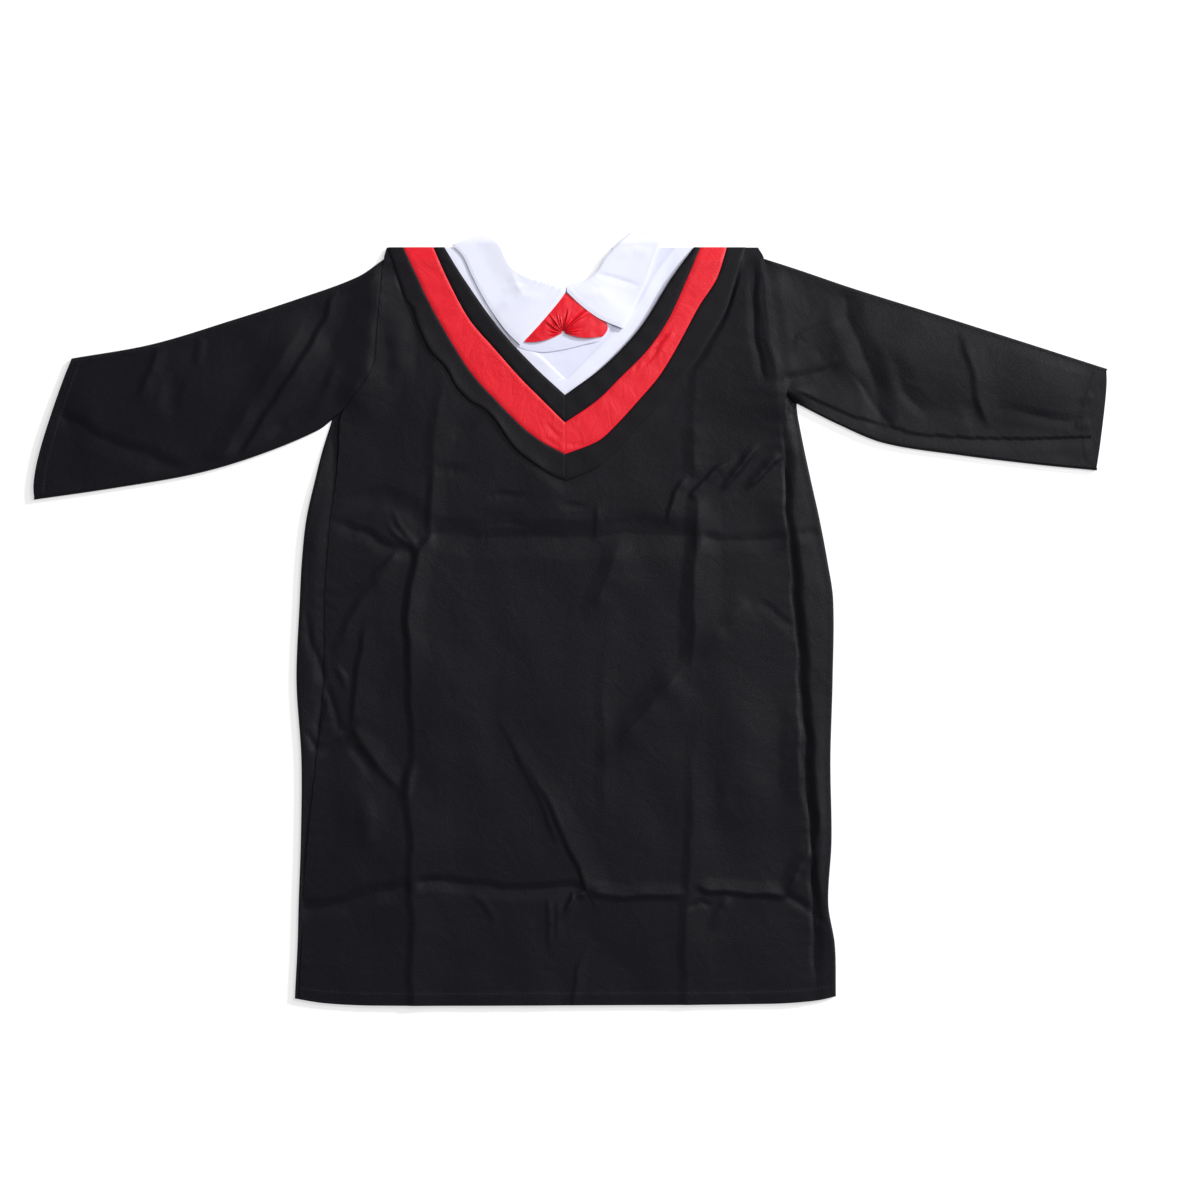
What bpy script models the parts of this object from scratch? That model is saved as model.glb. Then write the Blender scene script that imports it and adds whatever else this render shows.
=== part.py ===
"""A child's pull-over graduation gown, laid flat with its front up.

Sizes in the tables are millimetres. The gown lies on z = 0 with its neck toward +Y.
Sides are named by the wearer, so the right side of the gown lies at -X.
"""

import math
from bisect import bisect_right
from collections import namedtuple

import bmesh
import bpy

MM = 0.001

# Driving sizes
CLOTH = 1.2
TRIM = 1.0
SHIRT = 1.0
LEAF = 1.2
SATIN = 0.8
SEAM = 0.4
ROLL = 1.8
CENTRE_X = -5.0
HEM_Y = -355.5
SHOULDER_Y = 341.0
NOTCH_Y = 200.0
RIGHT_ARMPIT_Y = 194.0
LEFT_ARMPIT_Y = 214.0
SHOULDER_TURN = 12.0
PLEATS = 8

# Heights of the middle of each wall
BACK_Z = CLOTH / 2
FRONT_Z = BACK_Z + 2 * ROLL
SHOULDER_Z = CLOTH + 0.3 + CLOTH / 2
SHIRT_Z = CLOTH + 0.4 + SHIRT / 2
BAND_LIFT = CLOTH / 2 + 0.4 + TRIM / 2
STAND_Z = SHIRT_Z + SHIRT / 2 + 0.4 + SHIRT / 2
BOW_Z = STAND_Z + SHIRT / 2 + 0.6 + SATIN / 2
BOW_RISE = 1.6
BOW_SAG = 3.0

# Rows up the body: each span starts at y and is cut into steps
Span = namedtuple("Span", "y steps")
BODY_SPANS = [
    Span(HEM_Y, 1),
    Span(-344, 5),
    Span(-250, 1),
    Span(-236, 18),
    Span(56, 1),
    Span(74, 1),
    Span(88, 6),
    Span(RIGHT_ARMPIT_Y, 1),
    Span(NOTCH_Y, 1),
    Span(LEFT_ARMPIT_Y, 1),
    Span(230, 5),
    Span(318, 1),
    Span(SHOULDER_Y - SHOULDER_TURN, 1),
    Span(SHOULDER_Y, 0),
]

# Side folds and side seams, which lie on the front because the back wraps round each side
Side = namedtuple("Side", "y right_fold right_seam left_seam left_fold")
SIDES = [
    Side(-356, -253.5, -249, 223, 244),
    Side(-300, -251, -246.5, 223, 243),
    Side(-262, -250, -245.5, 221, 237),
    Side(-204, -248, -241, 220, 240),
    Side(-130, -247.5, -233, 214, 239),
    Side(-57, -252, -226, 209, 241),
    Side(17, -249, -225, 203, 241.5),
    Side(54, -247, -223, 200.5, 236),
    Side(91, -243, -220, 198, 229),
    Side(127, -235, -215, 197, 221),
    Side(155, -228, -212.5, 196, 215),
    Side(186, -218, -210.5, 196, 209),
    Side(194, -215, -209, 196.5, 208),
]

Armhole = namedtuple("Armhole", "y right left")
ARMHOLES = [
    Armhole(200, -202, 197),
    Armhole(214, -190, 198.5),
    Armhole(221, -186, 194),
    Armhole(235, -179.5, 192),
    Armhole(265, -177, 189),
    Armhole(298, -174, 184),
    Armhole(332, -171, 177),
    Armhole(341, -168.5, 172),
]

Hem = namedtuple("Hem", "x y")
HEM = [Hem(-254, -349), Hem(-225, -353.5), Hem(-180, -355.5), Hem(0, -355.3),
       Hem(180, -354), Hem(225, -351), Hem(244, -347)]

# The lines of the V, each by height, from its tip to the shoulder
Line = namedtuple("Line", "y right left")
OPENING = [
    Line(205, -5, -5), Line(232, -34, 31), Line(267, -66, 64),
    Line(312, -98, 92.5), Line(341, -116, 113.5), Line(350, -121, 119),
]
RED_INNER = [
    Line(180, -5, -5), Line(200, -25, 24), Line(221, -46, 45.5), Line(247, -69, 71),
    Line(275, -93, 90), Line(312, -113, 107), Line(341, -126, 119.5),
]
RED_OUTER = [
    Line(151, -5, -5), Line(163, -27, 25), Line(176, -44, 40), Line(200, -68, 62),
    Line(223, -89, 81.5), Line(250, -107, 98), Line(287, -128, 118),
    Line(312, -140, 134), Line(341, -153.5, 143.5),
]
TRIM_OUTER = [
    Line(126, -5, -5), Line(138, -24, 24), Line(146, -34, 33), Line(174, -63, 60),
    Line(200, -89, 85), Line(235, -116, 114), Line(277, -141, 139.5),
    Line(298, -152, 148), Line(320, -160.5, 154.5), Line(341, -166.5, 160.5),
]
BAND_ROWS = [127.5, 133, 141, 151, 152.5, 160, 170, 180, 181.5, 190, 198, 205, 218, 232,
             250, 267, 284, 302, 318, 329, 341]

# Neckline of the shirt front, by height, and of the back panel, across
NECKLINE = [
    Line(306, -5, -5), Line(310, -20, 11), Line(316, -41, 20), Line(322.5, -53, 26),
    Line(335, -61, 34.5), Line(341, -64.5, 38.5),
]
BackNeck = namedtuple("BackNeck", "x y")
BACK_NECK = [
    BackNeck(-172, 341), BackNeck(-106, 340.5), BackNeck(-76, 335), BackNeck(-58, 317),
    BackNeck(-40, 309), BackNeck(-5, 299), BackNeck(14, 304), BackNeck(28, 318),
    BackNeck(44, 336), BackNeck(70, 340.5), BackNeck(175, 341),
]

# Outlines of a sleeve laid flat, on from the armhole to the cuff and from below to above
Outline = namedtuple("Outline", "armpit lower upper cuff recess")
RIGHT_SLEEVE = Outline(
    armpit=(-217.6, 187),
    lower=[(-234, 173), (-289, 149.5), (-344.5, 133), (-418, 120), (-492.5, 109)],
    upper=[(-196, 314), (-250, 294), (-310, 274.5), (-385, 252), (-458, 239)],
    cuff=[(-492.5, 109), (-493.3, 123), (-489.5, 146), (-478.5, 183), (-465, 222), (-458, 239)],
    recess=0,
)
LEFT_SLEEVE = Outline(
    armpit=(207.6, 199.2),
    lower=[(248, 178), (289, 161), (358, 150), (432, 141), (483.5, 136)],
    upper=[(211, 320), (258, 304), (330, 281.5), (413.5, 255), (492.8, 229.5)],
    cuff=[(483.5, 136), (487, 159), (491.5, 196), (493.2, 217), (492.8, 229.5)],
    recess=11,
)
CAP_TOP_Y = 331
SLEEVE_STEPS = 14

# Collar leaves, each with four edges: neck and outer run from the front to the shoulder
Leaf = namedtuple("Leaf", "neck outer front back")
RIGHT_LEAF = Leaf(
    neck=[(-4.5, 305), (-20, 310), (-41, 316), (-55, 325), (-64, 343), (-74, 353)],
    outer=[(-46, 251), (-58, 263), (-70, 279), (-80, 295), (-90, 314), (-99, 333), (-109, 343.5)],
    front=[(-4.5, 305), (-5, 299), (-24, 275), (-46, 251)],
    back=[(-74, 353), (-92, 350), (-109, 343.5)],
)
LEFT_LEAF = Leaf(
    neck=[(-2.5, 305), (14, 311), (24, 320), (31, 331), (43, 344), (54, 354)],
    outer=[(49, 266), (56, 278), (63, 294), (70, 308), (77, 328), (84, 348)],
    front=[(-2.5, 305), (-1.5, 299), (24, 277), (49, 266)],
    back=[(54, 354), (70, 355.5), (84, 348)],
)
LEAF_REST_Z = SHIRT_Z + SHIRT / 2 + 0.4 + LEAF / 2
LEAF_NECK_Z = LEAF_REST_Z + 1.6
LEAF_OVER_BOW_Z = BOW_Z + BOW_RISE + SATIN / 2 + 0.5 + LEAF / 2
LEAF_TABLE_Z = 1.0

STAND_LOWER = [(-58, 261), (-48, 250), (-28, 245), (-8, 247), (13, 252), (29, 257), (42, 276)]
STAND_UPPER = [(-62, 274), (-50, 286), (-28, 292), (-5, 293), (16, 292), (32, 288), (46, 282)]

# The satin fan, gathered at one point; its reach is given by direction
Reach = namedtuple("Reach", "angle radius")
GATHER = (-7.0, 263.0)
FAN = [Reach(-5, 37), Reach(4, 41), Reach(22, 37), Reach(45, 31), Reach(70, 31),
       Reach(90, 32), Reach(120, 28), Reach(150, 28), Reach(178, 33), Reach(194, 36)]

# Large folds: a ridge is above zero and a valley below; the spreads are to each side
Fold = namedtuple("Fold", "name x0 y0 x1 y1 height left right")
FOLDS = [
    Fold("press crease on the right, low", -143, -354, -145, -245, 1.6, 14, 26),
    Fold("press crease on the right, middle", -145, -245, -148, 54, 2.2, 14, 30),
    Fold("where that crease steps over", -148, 54, -128, 75, 2.0, 12, 18),
    Fold("press crease on the right, top", -128, 75, -129, 125, 2.2, 14, 26),
    Fold("press crease on the left, low", 106, -354, 110, -254, 1.6, 16, 16),
    Fold("press crease on the left, middle", 110, -245, 115, 68, 2.4, 18, 26),
    Fold("press crease on the left, top", 116, 72, 117, 150, 2.2, 16, 26),
    Fold("waist press crease", -120, 74, 108, 74, -1.2, 14, 14),
    Fold("hem press crease, right part", -235, -250, 5, -250, -1.2, 14, 13),
    Fold("hem press crease, left part", 20, -250, 190, -250, 2.0, 14, 13),
    Fold("long slanting pinch", 16, -236, -70, -82, 2.8, 16, 26),
    Fold("right flank crease", -153, -160, -200, -104, 2.4, 18, 24),
    Fold("left flank, first fold", 115, 113, 158, 157, 2.4, 17, 17),
    Fold("left flank, third fold", 160, 113, 190, 160, 2.6, 15, 17),
    Fold("slanting swell", 64, -105, 114, -20, 2.8, 28, 28),
    Fold("roll along the left armhole", 178, 219, 170, 300, 2.6, 14, 12),
    Fold("right sleeve, long valley", -306, 150, -219, 280, -1.3, 20, 16),
    Fold("right sleeve, long swell", -334, 160, -246, 282, 2.2, 22, 20),
    Fold("right sleeve, crease to the cuff", -462, 178, -356, 135, -1.2, 14, 14),
    Fold("right sleeve, cap", -192, 214, -194, 296, 1.8, 12, 18),
    Fold("left sleeve, cap fold low", 299, 185, 278, 219, 2.6, 22, 20),
    Fold("left sleeve, cap fold high", 278, 219, 254, 290, 2.4, 22, 20),
    Fold("left sleeve, fold at the elbow", 380, 175, 363, 258, 1.8, 22, 22),
]


# Curves through tables
def smooth_through(knots):
    """Function that runs smoothly through (at, value) knots and stays level past the ends."""
    at = [knot[0] for knot in knots]
    value = [knot[1] for knot in knots]
    last = len(knots) - 1
    slope = []
    for i in range(len(knots)):
        before = max(i - 1, 0)
        after = min(i + 1, last)
        slope.append((value[after] - value[before]) / (at[after] - at[before]))

    def read(x):
        x = min(max(x, at[0]), at[last])
        i = min(bisect_right(at, x) - 1, last - 1)
        width = at[i + 1] - at[i]
        s = (x - at[i]) / width
        rise = s * s * (3 - 2 * s)
        bend = slope[i] * s * (1 - s) ** 2 - slope[i + 1] * s * s * (1 - s)
        return value[i] * (1 - rise) + value[i + 1] * rise + bend * width

    return read


def column(table, at, value):
    return smooth_through([(getattr(row, at), getattr(row, value)) for row in table])


def path(points):
    """Function of 0 to 1 along a smooth curve through points, by length."""
    length = [0.0]
    for a, b in zip(points, points[1:]):
        length.append(length[-1] + math.dist(a, b))
    total = length[-1]
    along_x = smooth_through([(s / total, p[0]) for s, p in zip(length, points)])
    along_y = smooth_through([(s / total, p[1]) for s, p in zip(length, points)])
    return lambda s: (along_x(s), along_y(s))


def patch(low, high, start, end):
    """Point inside four edges: low and high run with s, start and end run with t."""
    corner = (start(0), end(0), start(1), end(1))

    def place(s, t):
        point = []
        for k in (0, 1):
            across = (1 - t) * low(s)[k] + t * high(s)[k] + (1 - s) * start(t)[k] + s * end(t)[k]
            flat = (1 - t) * ((1 - s) * corner[0][k] + s * corner[1][k])
            flat += t * ((1 - s) * corner[2][k] + s * corner[3][k])
            point.append(across - flat)
        return point

    return place


def ease(x, start, end):
    s = min(max((x - start) / (end - start), 0.0), 1.0)
    return s * s * (3 - 2 * s)


def mix(a, b, s):
    return a + (b - a) * s


right_fold = column(SIDES, "y", "right_fold")
left_fold = column(SIDES, "y", "left_fold")
right_edge = smooth_through([(r.y, r.right_seam) for r in SIDES[:-1]]
                            + [(r.y, r.right) for r in ARMHOLES])
left_edge = smooth_through([(r.y, r.left_seam) for r in SIDES[:-1]]
                           + [(r.y, r.left) for r in ARMHOLES])
hem = column(HEM, "x", "y")
back_neck = column(BACK_NECK, "x", "y")


def trim_height(x):
    """Height at which the outer line of the V crosses x."""
    side = "right" if x < CENTRE_X else "left"
    low, high = TRIM_OUTER[0].y, TRIM_OUTER[-1].y
    line = column(TRIM_OUTER, "y", side)
    for _ in range(12):
        middle = (low + high) / 2
        if abs(line(middle) - CENTRE_X) < abs(x - CENTRE_X):
            low = middle
        else:
            high = middle
    return low


def fold_height(fold, x, y):
    dx, dy = fold.x1 - fold.x0, fold.y1 - fold.y0
    s = ((x - fold.x0) * dx + (y - fold.y0) * dy) / (dx * dx + dy * dy)
    s = min(max(s, 0.0), 1.0)
    away = math.hypot(x - fold.x0 - s * dx, y - fold.y0 - s * dy)
    turned = dx * (y - fold.y0) - dy * (x - fold.x0)
    spread = fold.left if turned > 0 else fold.right
    if away >= spread:
        return 0.0
    return fold.height * (1 - (away / spread) ** 2) ** 2


def relief(x, y):
    """Height of the folds at a point, none under the V bands or near the shoulder."""
    heights = [fold_height(fold, x, y) for fold in FOLDS]
    below_trim = 0.7 * (trim_height(x) - y)
    return (max(heights + [0]) + min(heights + [0])) * ease(below_trim, 14, 34)


def shoulder_turn(y):
    """How far the front has come down to the back at the shoulder, 0 to 1."""
    return min(max((y - SHOULDER_Y + SHOULDER_TURN) / SHOULDER_TURN, 0.0), 1.0)


def front_height(x, y):
    z = mix(FRONT_Z, SHOULDER_Z, shoulder_turn(y))
    return z + relief(x, y) * (1 - ease(y, 290, 325))


# Building
def remove_all():
    for thing in list(bpy.data.objects):
        bpy.data.objects.remove(thing, do_unlink=True)


def cloth_material(name, colour, roughness):
    material = bpy.data.materials.new(name)
    material.use_nodes = True
    surface = material.node_tree.nodes["Principled BSDF"]
    surface.inputs["Base Color"].default_value = (*colour, 1)
    surface.inputs["Roughness"].default_value = roughness
    surface.inputs["Metallic"].default_value = 0
    return material


def sheet(name, patches, wall, colour, roughness, keep=None, even=True):
    """One wall of cloth: grids of columns by rows cells, welded, placed in mm, then thickened."""
    bm = bmesh.new()
    for columns, rows, place in patches:
        made = bmesh.ops.create_grid(bm, x_segments=columns, y_segments=rows, size=0.5)
        spare = []
        for vert in made["verts"]:
            i = round((vert.co.x + 0.5) * columns)
            j = round((vert.co.y + 0.5) * rows)
            if keep and not keep(i, j):
                spare.append(vert)
                continue
            vert.co = [MM * value for value in place(i, j)]
        bmesh.ops.delete(bm, geom=spare, context="VERTS")
    bmesh.ops.remove_doubles(bm, verts=bm.verts, dist=0.00001)
    mesh = bpy.data.meshes.new(name)
    bm.to_mesh(mesh)
    bm.free()
    mesh.shade_smooth()
    mesh.materials.append(cloth_material(name, colour, roughness))
    piece = bpy.data.objects.new(name, mesh)
    gown.objects.link(piece)
    solid = piece.modifiers.new("wall", "SOLIDIFY")
    solid.thickness = wall * MM
    solid.offset = 0
    solid.use_even_offset = even
    return piece


def body_rows():
    rows = []
    for span, after in zip(BODY_SPANS, BODY_SPANS[1:]):
        rows += [mix(span.y, after.y, k / span.steps) for k in range(span.steps)]
    return rows + [BODY_SPANS[-1].y]


def hem_shift(x, y):
    """Rows near the bottom follow the hem."""
    return (hem(x) - HEM_Y) * (1 - ease(y, HEM_Y, -290))


# Front panel: two halves welded on the centre line below the notch
PRESS = {
    "right": smooth_through([(-353, -143), (-245, -145), (54, -148), (75, -128), (150, -129),
                             (205, -134), (341, -146)]),
    "left": smooth_through([(-353, 106), (-245, 110), (68, 115), (150, 117), (205, 124),
                            (341, 146)]),
}
FRONT_OUTSIDE = 5
FRONT_INSIDE = 9


def front_place(side):
    rows = body_rows()
    edge = right_edge if side == "right" else left_edge
    notch = column(OPENING, "y", side)

    def place(i, j):
        y = rows[j]
        k = i if side == "right" else FRONT_OUTSIDE + FRONT_INSIDE - i
        inner = notch(y + 5) if y > NOTCH_Y else CENTRE_X
        if k <= FRONT_OUTSIDE:
            x = mix(edge(y), PRESS[side](y), k / FRONT_OUTSIDE)
        else:
            x = mix(PRESS[side](y), inner, (k - FRONT_OUTSIDE) / FRONT_INSIDE)
        y += hem_shift(x, y)
        return x, y, front_height(x, y)

    return place


def front_panel():
    rows = len(body_rows()) - 1
    columns = FRONT_OUTSIDE + FRONT_INSIDE
    halves = [(columns, rows, front_place(side)) for side in ("right", "left")]
    return sheet("front_panel", halves, CLOTH, BLACK, 0.6)


# Back panel: flat on the ground and wrapped round each side up to the side seam
BACK_STRIP = 2
BACK_BEND = 5
BACK_FLAT = 6
RIGHT_WRAP_DROP = 13
LEFT_WRAP_DROP = 16


def back_panel():
    rows = body_rows()
    first_flat = BACK_STRIP + BACK_BEND
    last_flat = first_flat + BACK_FLAT
    columns = last_flat + BACK_BEND + BACK_STRIP

    def wrap(k, y, fold, seam, inward, armpit, drop):
        """Column k of a side, 0 at the seam, through the bend, to the start of the flat."""
        lower = drop * ease(y, armpit - 40, armpit)
        bend_x = fold(y - lower) + inward * (ROLL + CLOTH / 2)
        if k <= BACK_STRIP:
            x = mix(seam(y) - inward * SEAM, bend_x, k / BACK_STRIP)
            away = abs(x - fold(y))
            z = FRONT_Z + relief(x, y) * ease(away, 3, 16)
            return x, y - lower * k / BACK_STRIP, z
        turn = math.pi * (k - BACK_STRIP) / BACK_BEND
        x = bend_x - inward * ROLL * math.sin(turn)
        return x, y - lower, BACK_Z + ROLL + ROLL * math.cos(turn)

    def place(i, j):
        y = rows[j]
        if i <= first_flat and y <= RIGHT_ARMPIT_Y:
            x, y, z = wrap(i, y, right_fold, right_edge, 1, RIGHT_ARMPIT_Y, RIGHT_WRAP_DROP)
            return x, y + hem_shift(x, y), z
        if i >= last_flat and y <= LEFT_ARMPIT_Y:
            x, y, z = wrap(columns - i, y, left_fold, left_edge, -1, LEFT_ARMPIT_Y, LEFT_WRAP_DROP)
            return x, y + hem_shift(x, y), z
        start = right_fold(y) + ROLL + CLOTH / 2 if y < RIGHT_ARMPIT_Y else right_edge(y)
        end = left_fold(y) - ROLL - CLOTH / 2 if y < LEFT_ARMPIT_Y - 20 else left_edge(y)
        x = mix(start, end, (i - first_flat) / BACK_FLAT)
        y += hem_shift(x, y)
        if y > 284:
            y = mix(284, back_neck(x), (y - 284) / (SHOULDER_Y - 284))
        return x, y, BACK_Z

    def keep(i, j):
        if i < first_flat:
            return rows[j] <= RIGHT_ARMPIT_Y
        if i > last_flat:
            return rows[j] <= LEFT_ARMPIT_Y
        return True

    return sheet("back_panel", [(columns, len(rows) - 1, place)], CLOTH, BLACK, 0.6, keep)


# Sleeves: each a flat tube, open at the armhole and at the cuff
TUBE_BEND = 4


def sleeve(name, outline, edge, armpit_y, outward):
    cap_rows = [y for y in body_rows() if armpit_y <= y < SHOULDER_Y - SHOULDER_TURN]
    low_y = outline.armpit[1]
    edge_knots = [(y, edge(y) + outward * 0.8) for y in cap_rows + [CAP_TOP_Y]]
    along = smooth_through([(low_y, outline.armpit[0])] + edge_knots)

    def cap(t):
        y = mix(low_y, CAP_TOP_Y, t)
        return along(y), y

    lower = path([cap(0)] + outline.lower)
    upper = path([cap(1)] + outline.upper)
    cuff = path(outline.cuff)
    nodes = [(y - low_y) / (CAP_TOP_Y - low_y) for y in cap_rows]
    count = len(nodes) + 2
    ring = 2 * (count - 1 + TUBE_BEND)

    def inside(s, t):
        """Straight across from edge to edge, bowed like the armhole and the cuff at the ends."""
        point = []
        for k in (0, 1):
            straight = mix(lower(s)[k], upper(s)[k], t)
            straight += (cap(t)[k] - mix(cap(0)[k], cap(1)[k], t)) * (1 - s) ** 5
            straight += (cuff(t)[k] - mix(cuff(0)[k], cuff(1)[k], t)) * s ** 5
            point.append(straight)
        return point

    def node(s, k):
        """Nodes match the body's rows at the armhole and soon spread evenly."""
        inset = (ROLL + CLOTH / 2) / math.dist(lower(s), upper(s))
        if k in (0, count - 1):
            return inset if k == 0 else 1 - inset
        return mix(nodes[k - 1], k / (count - 1), min(s / 0.14, 1))

    def bend(s, k, turn):
        """Point of a rolled edge, pushed out along the line between the sleeve's two edges."""
        x, y = inside(s, node(s, k))
        (x0, y0), (x1, y1) = lower(s), upper(s)
        out = ROLL * math.sin(turn) / math.dist((x0, y0), (x1, y1))
        out = -out if k == 0 else out
        return x + (x1 - x0) * out, y + (y1 - y0) * out

    def place(i, j):
        s = j / SLEEVE_STEPS
        i = i % ring
        if i < count:
            t = node(s, i)
            s -= outline.recess / 290 * ease(s, 0.7, 1) * math.sin(math.pi * t)
            x, y = inside(s, t)
            rim = min(t, 1 - t) * math.dist(lower(s), upper(s))
            return x, y, FRONT_Z + relief(x, y) * ease(rim, 3, 18)
        i -= count - 1
        if i < TUBE_BEND:
            turn = math.pi * i / TUBE_BEND
            x, y = bend(s, count - 1, turn)
            return x, y, BACK_Z + ROLL + ROLL * math.cos(turn)
        i -= TUBE_BEND
        if i < count:
            x, y = inside(s, node(s, count - 1 - i))
            return x, y, BACK_Z
        i -= count - 1
        turn = math.pi * i / TUBE_BEND
        x, y = bend(s, 0, turn)
        return x, y, BACK_Z + ROLL - ROLL * math.cos(turn)

    return sheet(name, [(ring, SLEEVE_STEPS, place)], CLOTH, BLACK, 0.6, even=False)


# V bands: three strips a side, mitred on the centre line
def band(name, side, outer_line, inner_line, colour, segments, edge_lift):
    sign = -1 if side == "right" else 1
    outer = column(outer_line, "y", side)
    inner = column(inner_line, "y", side)
    centre = CENTRE_X + sign * SEAM / 2
    rows = [y for y in BAND_ROWS if y > outer_line[0].y]
    gap = 0.7 if outer_line is not TRIM_OUTER else 0

    def place(i, j):
        y = rows[j]
        from_x = outer(y) - sign * gap
        to_x = inner(y) if y > inner_line[0].y else centre
        if (to_x - centre) * sign < 0:
            to_x = centre
        across = i / segments if side == "right" else 1 - i / segments
        x = mix(from_x, to_x, across)
        z = mix(FRONT_Z, SHOULDER_Z, shoulder_turn(y)) + BAND_LIFT
        lift = edge_lift * (1 - across) ** 2 * ease(y, 127, 150) * (1 - ease(y, 260, 320))
        return x, y, z + lift

    return sheet(name, [(segments, len(rows) - 1, place)], TRIM, colour, 0.5)


def bands():
    for side, lift in (("right", 2.4), ("left", 0.8)):
        band(f"band_inner_{side}", side, RED_INNER, OPENING, TRIM_BLACK, 2, 0)
        band(f"band_red_{side}", side, RED_OUTER, RED_INNER, RED, 3, 0)
        band(f"band_outer_{side}", side, TRIM_OUTER, RED_OUTER, TRIM_BLACK, 3, lift)


# Shirt front: fills the V, from under the bands to the neckline
SHIRT_ROWS = [198, 206.5, 218, 232, 250, 267, 284, 295, 306, 316, 325, 333, 341]
SHIRT_COLUMNS = 4


def shirt_front():
    def half(side):
        outer = column(OPENING, "y", side)
        neck = column(NECKLINE, "y", side)

        def place(i, j):
            y = SHIRT_ROWS[j]
            from_x = outer(y + 9 * (1 - ease(y, 290, 325)))
            to_x = neck(y) if y > NECKLINE[0].y else CENTRE_X
            k = i if side == "right" else SHIRT_COLUMNS - i
            return mix(from_x, to_x, k / SHIRT_COLUMNS), y, SHIRT_Z

        return place

    halves = [(SHIRT_COLUMNS, len(SHIRT_ROWS) - 1, half(side)) for side in ("right", "left")]
    return sheet("shirt_front", halves, SHIRT, WHITE, 0.7)


# Collar stand: a curved band that shows below the bow
def collar_stand():
    inside = patch(path(STAND_LOWER), path(STAND_UPPER),
                   path([STAND_LOWER[0], STAND_UPPER[0]]), path([STAND_LOWER[-1], STAND_UPPER[-1]]))
    columns, rows = 14, 4

    def place(i, j):
        x, y = inside(i / columns, j / rows)
        return x, y, STAND_Z

    return sheet("collar_stand", [(columns, rows, place)], SHIRT, WHITE, 0.7)


def near_bow(x, y):
    """1 over the bow and its stand, falling to 0 beyond them."""
    away = math.hypot((x + 4) / 45, (y - 272) / 33)
    return 1 - ease(away, 1.05, 1.5)


def near_stand(x, y):
    away = math.hypot((x + 8) / 56, (y - 268) / 27)
    return 1 - ease(away, 1.0, 1.35)


# Bow: one piece of satin gathered at a point into pleats that spread like a fan
def bow():
    reach = column(FAN, "angle", "radius")
    spokes, rings = 4 * PLEATS, 4
    first, last = FAN[-1].angle, FAN[0].angle

    def place(i, j):
        angle = mix(first, last, i / spokes)
        out = mix(0.06, 1.0, j / rings)
        radius = reach(angle) * out
        x = GATHER[0] + radius * math.cos(math.radians(angle))
        y = GATHER[1] + radius * math.sin(math.radians(angle))
        level = abs(math.cos(math.radians(angle)))
        y -= BOW_SAG * math.sin(math.pi * out) * ease(level, 0.8, 1)
        pleat = (1 - math.cos(2 * math.pi * PLEATS * i / spokes)) / 2
        return x, y, BOW_Z + BOW_RISE * pleat * math.sin(math.pi * min(out + 0.15, 1))

    return sheet("bow", [(spokes, rings, place)], SATIN, RED, 0.35)


# Collar leaves: they rest on the shirt front, climb over the bow and leave the shoulder
def collar_leaf(name, outline):
    inside = patch(path(outline.neck), path(outline.outer), path(outline.front), path(outline.back))
    columns, rows = 14, 6

    def place(i, j):
        s, t = i / columns, j / rows
        x, y = inside(s, t)
        z = mix(LEAF_NECK_Z, LEAF_REST_Z, ease(t, 0, 0.6))
        z = max(z, mix(z, STAND_Z + SHIRT / 2 + 0.4 + LEAF / 2, near_stand(x, y)))
        z = max(z, mix(z, LEAF_OVER_BOW_Z, near_bow(x, y)))
        return x, y, mix(z, LEAF_TABLE_Z + 0.8 * (1 - t), ease(y, 344, 356))

    return sheet(name, [(columns, rows, place)], LEAF, WHITE, 0.7)


BLACK = (0.012, 0.012, 0.015)
TRIM_BLACK = (0.015, 0.014, 0.014)
RED = (0.80, 0.02, 0.035)
WHITE = (0.82, 0.83, 0.90)

remove_all()
gown = bpy.data.collections.new("graduation_gown")
bpy.context.scene.collection.children.link(gown)
back_panel()
front_panel()
sleeve("sleeve_right", RIGHT_SLEEVE, right_edge, RIGHT_ARMPIT_Y, -1)
sleeve("sleeve_left", LEFT_SLEEVE, left_edge, LEFT_ARMPIT_Y, 1)
bands()
shirt_front()
collar_stand()
bow()
collar_leaf("collar_right", RIGHT_LEAF)
collar_leaf("collar_left", LEFT_LEAF)
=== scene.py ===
import math
from collections import namedtuple

import bmesh
import bpy
import numpy as np
from mathutils import Matrix, Vector


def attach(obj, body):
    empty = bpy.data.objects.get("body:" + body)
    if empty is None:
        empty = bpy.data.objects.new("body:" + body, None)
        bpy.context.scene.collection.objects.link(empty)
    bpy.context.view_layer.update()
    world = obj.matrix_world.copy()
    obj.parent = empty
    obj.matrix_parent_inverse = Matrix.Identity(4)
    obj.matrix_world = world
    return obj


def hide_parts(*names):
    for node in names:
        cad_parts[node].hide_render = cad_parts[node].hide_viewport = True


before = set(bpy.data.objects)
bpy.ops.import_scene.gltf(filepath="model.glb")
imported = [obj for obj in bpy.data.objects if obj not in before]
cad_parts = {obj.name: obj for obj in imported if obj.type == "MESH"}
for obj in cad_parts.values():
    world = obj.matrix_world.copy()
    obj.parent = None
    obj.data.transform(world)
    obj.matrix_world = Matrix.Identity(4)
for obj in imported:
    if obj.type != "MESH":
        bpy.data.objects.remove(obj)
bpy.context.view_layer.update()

# The view: a white table seen from straight above, weak light all round, a large soft lamp and
# a low far one, both beyond the wearer's left shoulder, so that the folds show.
MM = 0.001
PIXEL = 0.92 * MM
FRAME_PIXELS = 1200
VIEW_CENTRE = (0.0271, 0.0170)
LENS = 90
SENSOR = 36
FARTHEST = 50
TABLE_SIZE = 12
TABLE_GAP = 0.3 * MM
TABLE_WHITE = (0.52, 0.52, 0.52)
TABLE_GLOW = 0.56
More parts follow.
